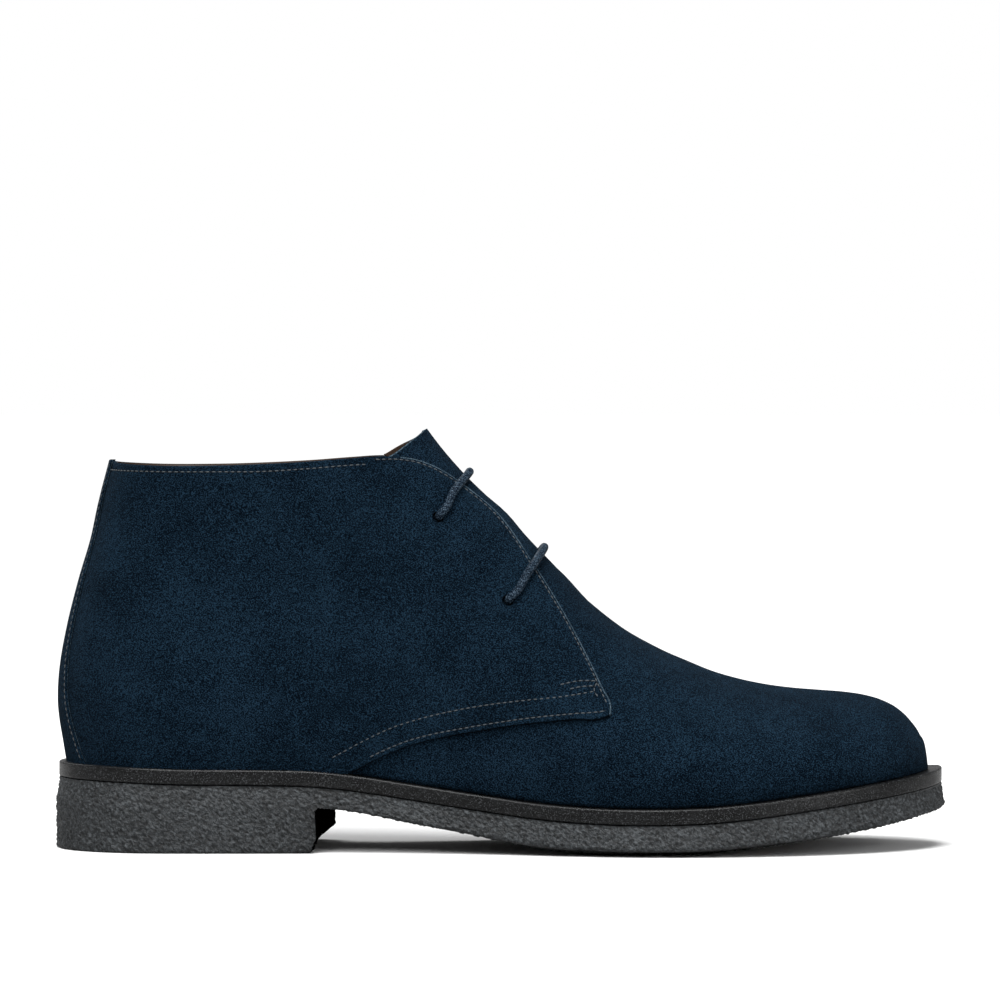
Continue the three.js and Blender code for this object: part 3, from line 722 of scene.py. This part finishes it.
def quarter_patch(s_steps, t_steps):
    """The quarter in the flattened side view: t by s by (p, z)."""
    low, collar, front = quarter_edges()
    bottom = curve_points(low, s_steps)
    top = curve_points(collar, s_steps)
    left = np.stack([np.full(len(t_steps), HIND_P), bottom[0, 1] + (top[0, 1] - bottom[0, 1])
                     * t_steps], -1)
    right = curve_points(front, t_steps)
    s, t = s_steps[None, :, None], t_steps[:, None, None]
    blend = (1 - t) * bottom[None] + t * top[None] + (1 - s) * left[:, None] + s * right[:, None]
    corners = ((1 - s) * (1 - t) * bottom[0] + s * (1 - t) * bottom[-1]
               + (1 - s) * t * top[0] + s * t * top[-1])
    return blend - corners


def rounded(distance, radius):
    """How far a cut edge falls away at a distance from it."""
    t = 1 - np.clip(distance / radius, 0, 1)
    return radius * (1 - np.sqrt(np.maximum(1 - t * t, 0)))


def right_of(line):
    """Flat directions to the right of a line at each of its points."""
    run = unit(np.gradient(line, axis=0))
    return np.stack([run[:, 1], -run[:, 0]], -1)


def groove(distance, at, width, depth):
    return depth * np.exp(-(((distance - at) / width) ** 2))


FRONT_STITCH = 1.1
FOOT_STITCH = 1.9
COLLAR_STITCH = 2.4
CUT_HIGHLIGHT_BAND = 0.5  # width of the pale cut edge in front, a painted highlight over the cut's own colour
FOOT_SHADOW_BAND = 0.3  # width of the painted shadow along the lower edge
SECOND_ROW = [(181.9, 53.9), (171, 52.4), (160, 51.4), (140, 48.7), (125.5, 45.5), (114, 41.9),
              (105, 37.7), (98, 34), (92, 30.6)]


def cut_distances(flat):
    """How far flattened places are from the quarter's lower edge and from its front edge."""
    low, _, front = quarter_edges()
    return (away_from(flat, curve_points([r for r in low if r[0] > FOOT_LEAVES], 100)),
            away_from(flat, curve_points(front, 100)))


def quarter_height(side, flat):
    """The quarter's outer face above the lasted form at flattened places."""
    rim = np.array(quarter_edges()[1], float)
    from_foot, from_front = cut_distances(flat)
    from_cut = np.minimum(from_foot, from_front)
    from_rim = away_from(flat, curve_points(rim, 60))
    second = away_from(flat, curve_points(SECOND_ROW, 60))
    base = skin(side, flat[..., 0], flat[..., 1])
    height = GAP + QUARTER_THICK + relief(base)
    height -= rounded(from_cut, 0.75) + rounded(from_rim, 0.65)
    height -= groove(from_front, FRONT_STITCH, 0.5, 0.14) * (flat[..., 1] > 47.6)
    height -= groove(from_foot, FOOT_STITCH, 0.5, 0.16) * (flat[..., 0] < 186)
    height -= groove(from_rim, COLLAR_STITCH, 0.5, 0.14)
    height -= groove(second, 0, 0.5, 0.14)
    return height


def quarter(side, name, node):
    s_steps = spaced(170, (False, True), 165)
    t_steps = spaced(95, (True, True), 90)
    flat = quarter_patch(s_steps, t_steps)
    base = skin(side, flat[..., 0], flat[..., 1])
    normal = skin_normal(side, flat[..., 0], flat[..., 1])
    normal[:, 0] = [-1, 0, 0]
    normal[:, 0, 2] = normal[:, 1, 2]
    normal[:, 0] = unit(normal[:, 0])
    height = quarter_height(side, flat)[..., None]
    outer = base + normal * height
    inner = base + normal * (GAP + relief(base))[..., None]
    outer[:, 0, 1] = inner[:, 0, 1] = side * GAP * 0.5
    build = Build()
    from_foot, from_front = cut_distances(flat[1:, 1:])
    # faces by the front edge take the pale cut edge with its painted highlight, faces by the lower
    # edge a painted shadow
    bands = np.where(from_front < CUT_HIGHLIGHT_BAND, 1, np.where(from_foot < FOOT_SHADOW_BAND, 3, 0))
    build.grid(outer, bands, flip=side > 0)
    build.grid(inner, 2, flip=side < 0)
    # the lower rim takes the painted shadow; the collar and front rims take the pale cut edge with
    # its painted highlight
    for rim, kind in ((np.stack([outer[0], inner[0]]), 3), (np.stack([inner[-1], outer[-1]]), 1),
                      (np.stack([inner[:, 0], outer[:, 0]]), 0),
                      (np.stack([outer[:, -1], inner[:, -1]]), 1)):
        build.grid(rim, kind, flip=side > 0)
    ready(build.object(name, [SUEDE, CUT_EDGE_AND_HIGHLIGHT, LINING, SUEDE_SHADOW]), "suede", node)


quarter(-1, "quarter_outer_suede", "quarter_outer")
quarter(1, "quarter_inner_suede", "quarter_inner")


# ---- the back stay ----

STAY_UNDER = 2 * GAP + QUARTER_THICK
STAY_TOP = 130.7
STAY_STITCH = 1.0
STAY_SEEN = 0.75  # thinner than the CAD strip, pressed down by its stitches


def heel_turn(z, y):
    """p round the back of the heel where the lasted form is y mm from the middle."""
    share = np.clip(y / half_width(-1, HIND_X, z), 0, 1)
    turn = np.arccos(share ** (HIND_ROUND / 2))
    return HIND_X - HIND_RUN * turn / (math.pi / 2)


def hind_normal(side, p, z):
    normal = skin_normal(side, p, z)
    middle = np.asarray(p) <= HIND_P + 1e-3
    flat = skin_normal(side, np.asarray(p) + 0.8, z)
    flat[..., 1] = 0
    return unit(np.where(middle[..., None], flat, normal))


def stay_height(y, z):
    from_edge = np.minimum(stay_half(z) - y, STAY_TOP - z)
    height = STAY_SEEN - rounded(from_edge, 0.6)
    height -= groove(stay_half(z) - y, STAY_STITCH, 0.45, 0.12)
    return height + 0.2 * smoothstep(4 - y, 0, 4)


def stay_points(side, share, z, lift):
    y = stay_half(z) * share
    p = heel_turn(z, y)
    base = skin(side, p, z)
    return base + hind_normal(side, p, z) * (lift + relief(base))[..., None]


def back_stay():
    share = 1 - np.concatenate([np.linspace(0, 0.16, 13), np.linspace(0.16, 1, 19)[1:]])
    share = share[::-1][None, :]
    z = STAY_TOP - (STAY_TOP - 29.5) * np.concatenate([np.linspace(0, 0.02, 8),
                                                       np.linspace(0.02, 1, 120)[1:]])
    z = z[::-1][:, None]
    y = stay_half(z) * share
    build = Build()
    for side in (-1, 1):
        outer = stay_points(side, share, z, STAY_UNDER + stay_height(y, z))
        inner = stay_points(side, share, z, STAY_UNDER + 0 * y)
        build.grid(outer, 0, flip=side > 0)
        build.grid(inner, 0, flip=side < 0)
        # the stay's rims take the pale cut edge with its painted highlight
        for rim in ((outer[0], inner[0]), (inner[-1], outer[-1]), (outer[:, -1], inner[:, -1])):
            build.grid(np.stack(rim), 1, flip=side > 0)
    return build.object("back_stay_suede", [SUEDE, CUT_EDGE_AND_HIGHLIGHT])


ready(back_stay(), "suede", "back_stay")


# ---- eyelets and slits ----


def cutter(name, vertices, faces):
    # the cut walls of holes and slits take this painted shade
    obj = mesh_object(name, vertices, faces, [PAINTED_HOLE_SHADE], smooth=False)
    bm = bmesh.new()
    bm.from_mesh(obj.data)
    bmesh.ops.recalc_face_normals(bm, faces=bm.faces)
    bm.to_mesh(obj.data)
    bm.free()
    return obj


def prism(name, near, far):
    """A solid between two loops of points."""
    count = len(near)
    sides = [[i, (i + 1) % count, (i + 1) % count + count, i + count] for i in range(count)]
    ends = [list(range(count)), list(range(2 * count - 1, count - 1, -1))]
    return cutter(name, np.concatenate([near, far]), sides + ends)


def eyelet_place(side, x, z):
    """Middle of an eyelet on the lasted form, and the way out through it."""
    return skin(side, x, z), skin_normal(side, x, z)


def ring_round(middle, axis, radius, count=28):
    across = unit(np.cross(axis, [0, 0, 1.0]))
    up = np.cross(axis, across)
    turn = np.linspace(0, 2 * math.pi, count, endpoint=False)[:, None]
    return middle + radius * (np.cos(turn) * across + np.sin(turn) * up)


HOLE_RADIUS = 1.95
HOLE_SHIFT = (-0.45, -0.5)  # the lace pulls to the upper front of each hole
INNER_HOLE = 1.55  # the hole in the lining fits the lace
HOLE_REACH = 9.0


def hole(side, x, z, radius, shift=(0, 0)):
    middle, out = eyelet_place(side, x + shift[0], z + shift[1])
    return prism("hole", ring_round(middle - HOLE_REACH * out, out, radius),
                 ring_round(middle + HOLE_REACH * out, out, radius))


SLIT = 1.6  # width of the slits that free the tongue's sides
SLIT_BEHIND = 9.0  # distance behind the quarter's front edge
SLIT_FOOT = 84.0
SLIT_TOP = 127.0
SLIT_LEAN = 25.0  # how far back its top leans


def tongue_slit():
    behind = np.array([r for r in QUARTER_FRONT if SLIT_FOOT - 6 < r[1] < SLIT_TOP], float)
    back = behind + right_of(behind) * (SLIT_BEHIND + SLIT)
    front = behind + right_of(behind) * SLIT_BEHIND
    start = back[0, 0] - SLIT_LEAN
    flat = np.concatenate([[[start, 140]], back, front[::-1], [[start + SLIT, 140]]])
    loop = np.stack([flat[:, 0], np.zeros(len(flat)), flat[:, 1]], -1)
    return prism("slit", loop - [0, 80, 0], loop + [0, 80, 0])


def cut_away(obj, cutters):
    for tool in cutters:
        step = obj.modifiers.new("cut", "BOOLEAN")
        step.object = tool
        step.operation = "DIFFERENCE"
        step.solver = "EXACT"
        step.material_mode = "TRANSFER"
    bpy.context.view_layer.update()
    made = bpy.data.meshes.new_from_object(
        obj.evaluated_get(bpy.context.evaluated_depsgraph_get()))
    obj.modifiers.clear()
    obj.data = made
    for tool in cutters:
        bpy.data.objects.remove(tool)


for quarter_name, quarter_side in (("quarter_outer_suede", -1), ("quarter_inner_suede", 1)):
    cut_away(bpy.data.objects[quarter_name],
             [hole(quarter_side, x, z, HOLE_RADIUS, HOLE_SHIFT) for x, z, _ in EYELETS])
cut_away(bpy.data.objects["vamp_and_lining"],
         [tongue_slit()] + [hole(s, x, z, INNER_HOLE) for s in (-1, 1) for x, z, _ in EYELETS])


# ---- stitches ----

STITCH_PITCH = 2.1
STITCH_LONG = 1.45
STITCH_WIDE = 0.2
STITCH_RISE = 0.16
STITCH_SUNK = 0.06
STITCH_SHARES = np.linspace(0, 1, 7)
PIT_DEPTHS = np.array([0.1, 0.075, -0.05, -0.2])  # a needle hole's rings along its axis
PIT_RADII = (0, 0.2, 0.29, 0)


def tube(build, line, normals, radii, sides, squash=1.0):
    """A tube along a line, from radii by place and angle. squash is its height over its width."""
    ahead = unit(np.gradient(line, axis=0))
    across = unit(np.cross(normals, ahead))
    up = np.cross(ahead, across)
    turn = np.linspace(0, 2 * math.pi, sides + 1)
    turn[-1] = 0
    ring = (np.cos(turn)[None, :, None] * across[:, None]
            + squash * np.sin(turn)[None, :, None] * up[:, None])
    build.grid(line[:, None] + ring * radii[..., None])


def sew(build, line, normals, start=0.4):
    """Stitches and needle holes along a line on a face, the thread dipping at its ends."""
    run = run_along(line)

    def at(where, values):
        return np.stack([np.interp(where, run, values[:, k]) for k in range(3)], -1)

    share = STITCH_SHARES
    radii = STITCH_WIDE * np.sqrt(np.maximum(1 - np.abs(2 * share - 1) ** 3, 0))
    for first in np.arange(start, run[-1] - STITCH_LONG, STITCH_PITCH):
        where = first + STITCH_LONG * share
        normal = at(where, normals)
        lift = STITCH_RISE * np.sin(math.pi * share) - STITCH_SUNK
        tube(build, at(where, line) + normal * lift[:, None], normal, radii[:, None], 7, 0.8)
        middle = np.full(1, first - (STITCH_PITCH - STITCH_LONG) / 2)
        axis = at(middle, normals)[0]
        pit = at(middle, line) + axis * PIT_DEPTHS[:, None]
        rings = np.stack([ring_round(p, axis, r, 9) for p, r in zip(pit, PIT_RADII)])
        # the pits take the near-black painted shade
        build.grid(np.concatenate([rings, rings[:, :1]], axis=1), 1, flip=True)


def on_quarter(side, rows, steps=240):
    """A line of places in the flattened side view laid on a quarter, with its normals."""
    flat = curve_points(rows, steps)
    base = skin(side, flat[:, 0], flat[:, 1])
    normal = skin_normal(side, flat[:, 0], flat[:, 1])
    return base + normal * quarter_height(side, flat)[:, None], normal


def moved_in(rows, inset):
    """A line moved to its right-hand side by inset."""
    line = curve_points(rows, 200)
    return line + inset * right_of(line)


# short rows that lock the corner where the front row meets the second one
TACKS = [[(182.4, 57.1), (176.5, 57.3), (170.3, 56.2)],
         [(181.6, 55.6), (177, 55.4), (172.5, 54.5)],
         [(182.6, 56.8), (181.7, 54.2), (183, 52)]]


def quarter_rows():
    """The rows of stitches on a quarter, each as places in the flattened side view."""
    edge = QUARTER_FRONT[:-2]
    foot = [r for r in QUARTER_FOOT if r[0] > 102]
    front_row = moved_in([(108, 132.4)] + edge, FRONT_STITCH)
    foot_row = moved_in([(188.2, 46.3), (184.5, 45.6)] + foot, FOOT_STITCH)
    collar = [(p, 129.9) for p in np.linspace(-14, 67, 30)] + [*COLLAR[2:4], (107, 132.2)]
    collar_row = [(p, z - COLLAR_STITCH) for p, z in collar]
    foot_row = foot_row[foot_row[:, 0] < 185.6]
    return [front_row, foot_row, collar_row, SECOND_ROW[:-1] + [(94, 31.9)], *TACKS]


def seams(side, name):
    build = Build()
    for rows in quarter_rows():
        sew(build, *on_quarter(side, rows))
    return build.object(name, [THREAD, PAINTED_HOLE_SHADE])


ready(seams(-1, "quarter_outer_stitches"), "suede")
ready(seams(1, "quarter_inner_stitches"), "suede")


def stay_seams():
    build = Build()
    z = np.linspace(31, STAY_TOP - 1.2, 220)
    for side in (-1, 1):
        y = stay_half(z) - STAY_STITCH
        p = heel_turn(z, y)
        lift = STAY_UNDER + stay_height(y, z)
        line = stay_points(side, y / stay_half(z), z, lift)
        sew(build, line, hind_normal(side, p, z))
    return build.object("back_stay_stitches", [THREAD, PAINTED_HOLE_SHADE])


ready(stay_seams(), "suede")


# ---- the lace ----

LACE_HOOK = 0.5  # how far a bar bends forward where it leaves its eyelet


def bar_half(side, x, z, over, sway):
    """Half of a bar, from its eyelet to the top line."""
    share = np.sin(np.linspace(0, math.pi / 2, 60))
    lean = np.array([over - x, float(ridge_top(over)) - z])
    at_x, at_z = x + lean[0] * share, z + lean[1] * share
    y = centre_y(at_x) + side * half_width(side, at_x, at_z)
    y[-1] = centre_y(at_x[-1])
    line = np.stack([at_x, y, at_z], -1)
    flat = unit(np.cross([lean[0], 0, lean[1]], [0, 1.0, 0]))
    along = np.gradient(line, axis=0)
    along[-1] = [0, -side, 0]
    away = unit(np.cross(along, flat))
    away *= np.where(away @ [lean[0], 0, lean[1]] < 0, -1, 1)[:, None]
    low = LACE_CLEAR + LACE_RADIUS
    high = low + GAP + QUARTER_THICK
    lift = high + (low - high) * smoothstep(share, 0.55, 1)
    aside = np.array([lean[1], 0, -lean[0]]) / np.hypot(*lean)
    bend = LACE_HOOK * np.exp(-(((share - 0.22) / 0.14) ** 2))
    bend = bend - sway * np.sin(math.pi * share) ** 2
    return line + away * lift[:, None] + aside * bend[:, None]


def through_eyelet(side, x, z):
    """From inside the boot out to the quarter's face."""
    middle, out = eyelet_place(side, x, z)
    return np.array([middle + out * d for d in (-3.6, -1.6, 0.4, 2.1)])


def whole_bar(x, z, over, sway):
    halves = []
    for side in (-1, 1):
        bar = bar_half(side, x, z, over, sway)
        bar = bar[np.linalg.norm(bar - bar[0], axis=-1) > 2.4]
        halves.append(np.concatenate([through_eyelet(side, x, z), bar[::4], bar[-1:]]))
    return np.concatenate([halves[0], halves[1][-2::-1]])


def inside_run(side):
    """From the lower eyelet up to the upper one, behind the lining."""
    (top_x, top_z, _), (low_x, low_z, _) = EYELETS
    share = np.linspace(0.1, 0.9, 9)
    x = low_x + (top_x - low_x) * share
    z = low_z + (top_z - low_z) * share
    return skin(side, x, z) - skin_normal(side, x, z) * (UPPER_WALL + LACE_RADIUS + 0.5)


LACE_SWAY = (0.7, 0.1)  # how far each bar bends back, in mm
LACE_MIDDLE = np.array([130.0, 0, 90.0])  # the lace's outer side faces away from here
LACE_SIDES = 20
LACE_STRANDS = 4
LACE_TWIST = 900.0  # turn of the plait over the whole lace, in radians
LACE_POINTS = 1000


def lace():
    """One cord with both hidden ends by the inner top eyelet. From there it runs down inside, over
    the lower bar, up behind the outer side and back over the upper bar."""
    upper, lower = (whole_bar(*row, sway) for row, sway in zip(EYELETS, LACE_SWAY))
    start = inside_run(1)[1:8][::-1]
    line = np.concatenate([start, lower[::-1], inside_run(-1), upper])
    end, out = eyelet_place(1, *EYELETS[0][:2])
    tail = [end - out * 4.2 + np.array([-1.5, 0, -1.8]), end - out * 4.5 + np.array([-3, 0, -4.5])]
    line = np.concatenate([line, tail])
    keep = np.concatenate([[True], np.linalg.norm(np.diff(line, axis=0), axis=1) > 0.25])
    line = curve_points(line[keep], LACE_POINTS)
    for _ in range(12):
        line[1:-1] = (line[:-2] + 2 * line[1:-1] + line[2:]) / 4
    turn = np.linspace(0, 2 * math.pi, LACE_SIDES + 1)[None, :]
    twist = LACE_TWIST * np.linspace(0, 1, len(line))[:, None]
    plait = np.maximum(np.cos(LACE_STRANDS * turn + twist), np.cos(LACE_STRANDS * turn - twist))
    radius = LACE_RADIUS - 0.12 + 0.17 * plait
    radius[:, -1] = radius[:, 0]
    radius[[0, -1]] = 0
    build = Build()
    tube(build, line, line - LACE_MIDDLE, radius, LACE_SIDES)
    return build.object("lace_cord", [LACE])


ready(lace(), "lace", "lace_bar_upper", "lace_bar_lower")


# ---- the sole ----

SOLE_STEP = 0.43
EDGE_ROUND = 1.2
BREAST_Q = 89.6
BREAST_TOP = 15.4
BREAST_CUT = (0.4, 5.5)  # heights between which the slant and the bow set in
BREAST = UNDERSIDE[:4]


def to_points(side, x, z, inset):
    """Points at heights z on the sole's edge moved in by inset, for stations at x round it."""
    moved = inset + (LENGTH - 2 * inset) * x / LENGTH
    return np.stack([moved, edge_y(side, moved, inset), z], -1)


def stations(low, high, step):
    """Places from low to high at even steps round the outline."""
    fine = LENGTH * (1 - np.cos(np.linspace(0, math.pi, 8001))) / 2
    run = run_along(to_points(-1, fine, 0 * fine, 0.0))
    ends = np.interp([low, high], fine, run)
    count = int(round((ends[1] - ends[0]) / step)) + 1
    return np.interp(np.linspace(*ends, count), run, fine)


def breast_ahead(side):
    """How far one corner of the breast stands in front of the lateral one."""
    end_y = 31.4 if side > 0 else -HEEL_HALF
    bow = BREAST_BOW * (1 - (end_y / HEEL_HALF) ** 2)
    return BREAST_SLANT * (0.5 + end_y / (2 * HEEL_HALF)) - bow


def station_x(side, q):
    """Where a station stands on one side: the breast slants, so the inner side runs ahead."""
    behind = smoothstep(q, 52, BREAST_Q)
    share = np.where(q < BREAST_Q, behind, 1 - smoothstep(q, 92, 118))
    return q + breast_ahead(side) * share


under_z = through(UNDERSIDE[3:])


def under(q, y):
    """Height of the underside in front of the heel."""
    fall = (np.abs(y) - BELLY_FLAT) / (BELLY_REACH - BELLY_FLAT)
    return under_z(q) - belly_depth(q) * arch(fall, 2)


def sole_top(x):
    return strip_top(x) - STRIP_THICK - GAP


def edge_inset(z, low, top, size):
    """How far the outsole's side stands in: rounded at its foot, tapering at its top."""
    h = np.clip((z - low) / np.maximum(size, 1e-6), 0, 1)
    taper = np.clip((z - top + TAPER_RUN) / TAPER_RUN, 0, 1)
    return size * (1 - np.sqrt(1 - (1 - h) ** 2)) + OUTSOLE_TAPER * taper


def side_wall(side, q, share, low, high, size):
    """A band of the outsole's side, stations by rows, as what to_points takes."""
    low, high, size = (np.broadcast_to(v, q.shape)[:, None] for v in (low, high, size))
    x = station_x(side, q)[:, None] + 0 * share
    z = low + (high - low) * share
    return x, z, edge_inset(z, low, sole_top(x), size)


def across_rows(left, right, bow=0, shares=np.linspace(0, 1, 25)):
    """Rows of points from the lateral to the medial edge, bowed back in the middle."""
    v = np.array(shares)[None, :, None]
    rows = left[:, None] * (1 - v) + right[:, None] * v
    rows[..., 0] -= np.reshape(bow, (-1, 1)) * (4 * v * (1 - v))[..., 0]
    return rows


def outsole_body():
    heel_q = stations(0, BREAST_Q, SOLE_STEP)
    front_q = stations(BREAST_Q, LENGTH, SOLE_STEP)
    foot_share = np.array([0, 0.016, 0.038, 0.07])
    block = np.concatenate([foot_share, np.linspace(0.07, 1, 34)[1:]])
    band = np.concatenate([[0, 0.03, 0.07, 0.12], np.linspace(0.12, 1, 23)[1:]])
    breast_rows = [(0, 87)] + [(z, x) for x, z, _ in BREAST]
    build = Build()
    low_edge, corner, front_edge, rim = {}, {}, {}, {}
    for side in (-1, 1):
        foot = 0.4 * smoothstep(heel_q, 78, BREAST_Q)
        x, z, inset = side_wall(side, heel_q, block, foot, BREAST_TOP, EDGE_ROUND)
        cut_back = BREAST_Q - np.interp(z, *np.transpose(breast_rows))
        cut_back += breast_ahead(side) * (1 - np.interp(z, BREAST_CUT, (0, 1)))
        x = x - cut_back * smoothstep(heel_q, 72, BREAST_Q)[:, None]
        wall = to_points(side, x, z, inset)
        low_edge[side], corner[side] = wall[:, 0], wall[-1]
        build.grid(wall, 0, flip=side < 0)
        upper_wall = to_points(side, *side_wall(side, heel_q, band, BREAST_TOP,
                                                sole_top(station_x(side, heel_q)), 0.0))
        build.grid(upper_wall, 0, flip=side < 0)
        round_size = EDGE_ROUND * smoothstep(front_q, BREAST_Q, 97)
        x = station_x(side, front_q)
        low = np.full_like(front_q, BREAST_TOP)
        for _ in range(4):
            edge = to_points(side, x, low, round_size)
            low = under(front_q, edge[:, 1])
        low[0] = BREAST_TOP
        wall = to_points(side, *side_wall(side, front_q, band, low, sole_top(x), round_size))
        front_edge[side] = wall[:, 0]
        build.grid(wall, 0, flip=side < 0)
        rim[side] = np.concatenate([upper_wall[:, -1], wall[1:, -1]])
    build.grid(across_rows(low_edge[-1], low_edge[1]), 1, flip=True)
    breast_bow = BREAST_BOW * np.interp(corner[-1][:, 2], BREAST_CUT, (0, 1))
    # the heel's breast takes the painted shade
    build.grid(across_rows(corner[-1], corner[1], breast_bow), 2, flip=True)
    waist_bow = BREAST_BOW * (1 - smoothstep(front_q, 92, 118))
    belly = across_rows(front_edge[-1], front_edge[1], waist_bow)
    belly[..., 2] = under(front_q[:, None], belly[..., 1])
    belly[0, :, 2] = BREAST_TOP
    belly[:, 0], belly[:, -1] = front_edge[-1], front_edge[1]
    build.grid(belly, 1, flip=True)
    build.grid(across_rows(rim[-1], rim[1])[:, ::6], 1)
    return build.object("crepe_outsole", [CREPE, CREPE, CREPE_BREAST_SHADE])


PEBBLE = (2.3, 1.7, 1.35)  # size of a pebble along its slant, across the boot and over it
PEBBLE_EDGE = 0.55  # share of a pebble taken by its rounded edge
PEBBLE_DEPTH = 0.55
WORM_SIZE = 1.1
WORM_DEPTH = 0.3
CREPE_LEVEL = 0.46  # taken off, so that the grain lies about the plain face
FLOOR_FACE = 0.02  # faces lower than this lie on the floor


def crepe_height(points):
    """Pebbles and wrinkles of crepe rubber, in mm, at points in the row frame in mm."""
    heights = np.empty(len(points))
    for i, p in enumerate(points):
        slanted = Vector(((0.8 * p[0] - 0.6 * p[2]) / PEBBLE[0], p[1] / PEBBLE[1],
                          (0.6 * p[0] + 0.8 * p[2]) / PEBBLE[2]))
        near = noise.voronoi(slanted)[0]
        pebble = min(near[1] - near[0], PEBBLE_EDGE) / PEBBLE_EDGE
        worm = noise.noise(Vector(p) / WORM_SIZE)
        heights[i] = PEBBLE_DEPTH * pebble + WORM_DEPTH * worm - CREPE_LEVEL
    return heights


def remould(obj, move):
    """Moves an object's vertices: move takes their places in the row frame's mm, and normals."""
    vertices = obj.data.vertices
    place, normal = np.empty((len(vertices), 3)), np.empty((len(vertices), 3))
    vertices.foreach_get("co", place.reshape(-1))
    vertices.foreach_get("normal", normal.reshape(-1))
    vertices.foreach_set("co", (move(place / MM, normal) * MM).ravel())
    obj.data.update()
    return obj


def emboss(place, normal):
    """Crepe's grain on the outsole. A face on the floor is only pitted."""
    top = sole_top(place[:, 0] - SHIFT[0])
    lift = crepe_height(place) * (1 - smoothstep(place[:, 2], top - 0.5, top - 0.05))
    lift = lift * (1 - 0.6 * smoothstep(-normal[:, 2], 0.5, 0.9))
    lift = np.where(place[:, 2] < FLOOR_FACE, np.minimum(lift, 0), lift)
    place = place + normal * lift[:, None]
    place[:, 2] = np.maximum(place[:, 2], 0)
    return place


ready(remould(outsole_body(), emboss), "crepe_rubber", "outsole")


# ---- midsole strip and insole ----


def plan_stack(name, levels, shares, material, step):
    """A solid from insets and heights going up, closed by rows at shares across the boot."""
    q = stations(0, LENGTH, step)
    build = Build()
    walls = {}
    for side in (-1, 1):
        columns = []
        for inset, level in levels:
            edge = to_points(side, q, 0 * q, np.full_like(q, inset))
            edge[:, 2] = level(edge[:, 0])
            columns.append(edge)
        walls[side] = np.stack(columns, axis=1)
        build.grid(walls[side], 0, flip=side < 0)
    for row in (0, -1):
        build.grid(across_rows(walls[-1][:, row], walls[1][:, row], 0, shares), flip=row == 0)
    return build.object(name, [material])


def round_over(inset, level, size, up=1):
    """Insets and heights round a corner, up to a face at level or, with up = -1, from it."""
    return [(inset + size * (1 - math.cos(t)),
             lambda x, t=t: level(x) - up * size * (1 - math.sin(t)))
            for t in np.linspace(0, math.pi / 2, 5)[::up]]


def strip_foot(x):
    return strip_top(x) - STRIP_THICK


def edge_strip():
    size = 0.55
    levels = round_over(STRIP_INSET, strip_foot, size, -1)
    levels += [(STRIP_INSET, lambda x, s=s: strip_foot(x) + s) for s in (1.3, 2.1, 2.9, 3.7)]
    levels += round_over(STRIP_INSET, strip_top, size)
    shares = [0, 0.012, 0.03, 0.055, 0.09, 0.2, 0.5, 0.8, 0.91, 0.945, 0.97, 0.988, 1]
    return plan_stack("edge_strip", levels, shares, STRIP, 0.7)


def uneven(place, normal):
    """The strip's slight waves."""
    return place + normal * (0.05 * waves(place, 7, 0) + 0.025 * waves(place, 2, 0))[:, None]


ready(remould(edge_strip(), uneven), "edge_strip", "midsole")

INSOLE_EDGE = UPPER_INSET + UPPER_WALL + 0.45
DISH = 0.35  # how deep the footbed is worn along its middle
HEEL_DISH = 0.9  # how much deeper at the heel


def insole_top(x):
    return foot_z(x) + INSOLE_THICK


def footbed():
    levels = [(INSOLE_EDGE, foot_z), (INSOLE_EDGE, lambda x: foot_z(x) + 1.4)]
    levels += round_over(INSOLE_EDGE, insole_top, 1.2)
    return plan_stack("footbed", levels, np.linspace(0, 1, 61), FOOTBED, 1.4)


def worn(place, _):
    """The footbed's top with its hollow and its wrinkles."""
    own = place - SHIFT
    x, y, z = own.T
    inside = smoothstep(z, insole_top(x) - 0.3, insole_top(x))
    across = np.abs(y) / np.maximum(np.abs(edge_y(-1, x, INSOLE_EDGE)), 1)
    dish = (HEEL_DISH * smoothstep(x, 120, 40) + DISH) * (1 - np.minimum(across, 1) ** 2)
    wrinkle = 0.12 * waves(own, 11, 0) + 0.05 * waves(own, 3, 0)
    place[:, 2] -= inside * (dish - wrinkle)
    return place


ready(remould(footbed(), worn), "lining_leather", "insole")
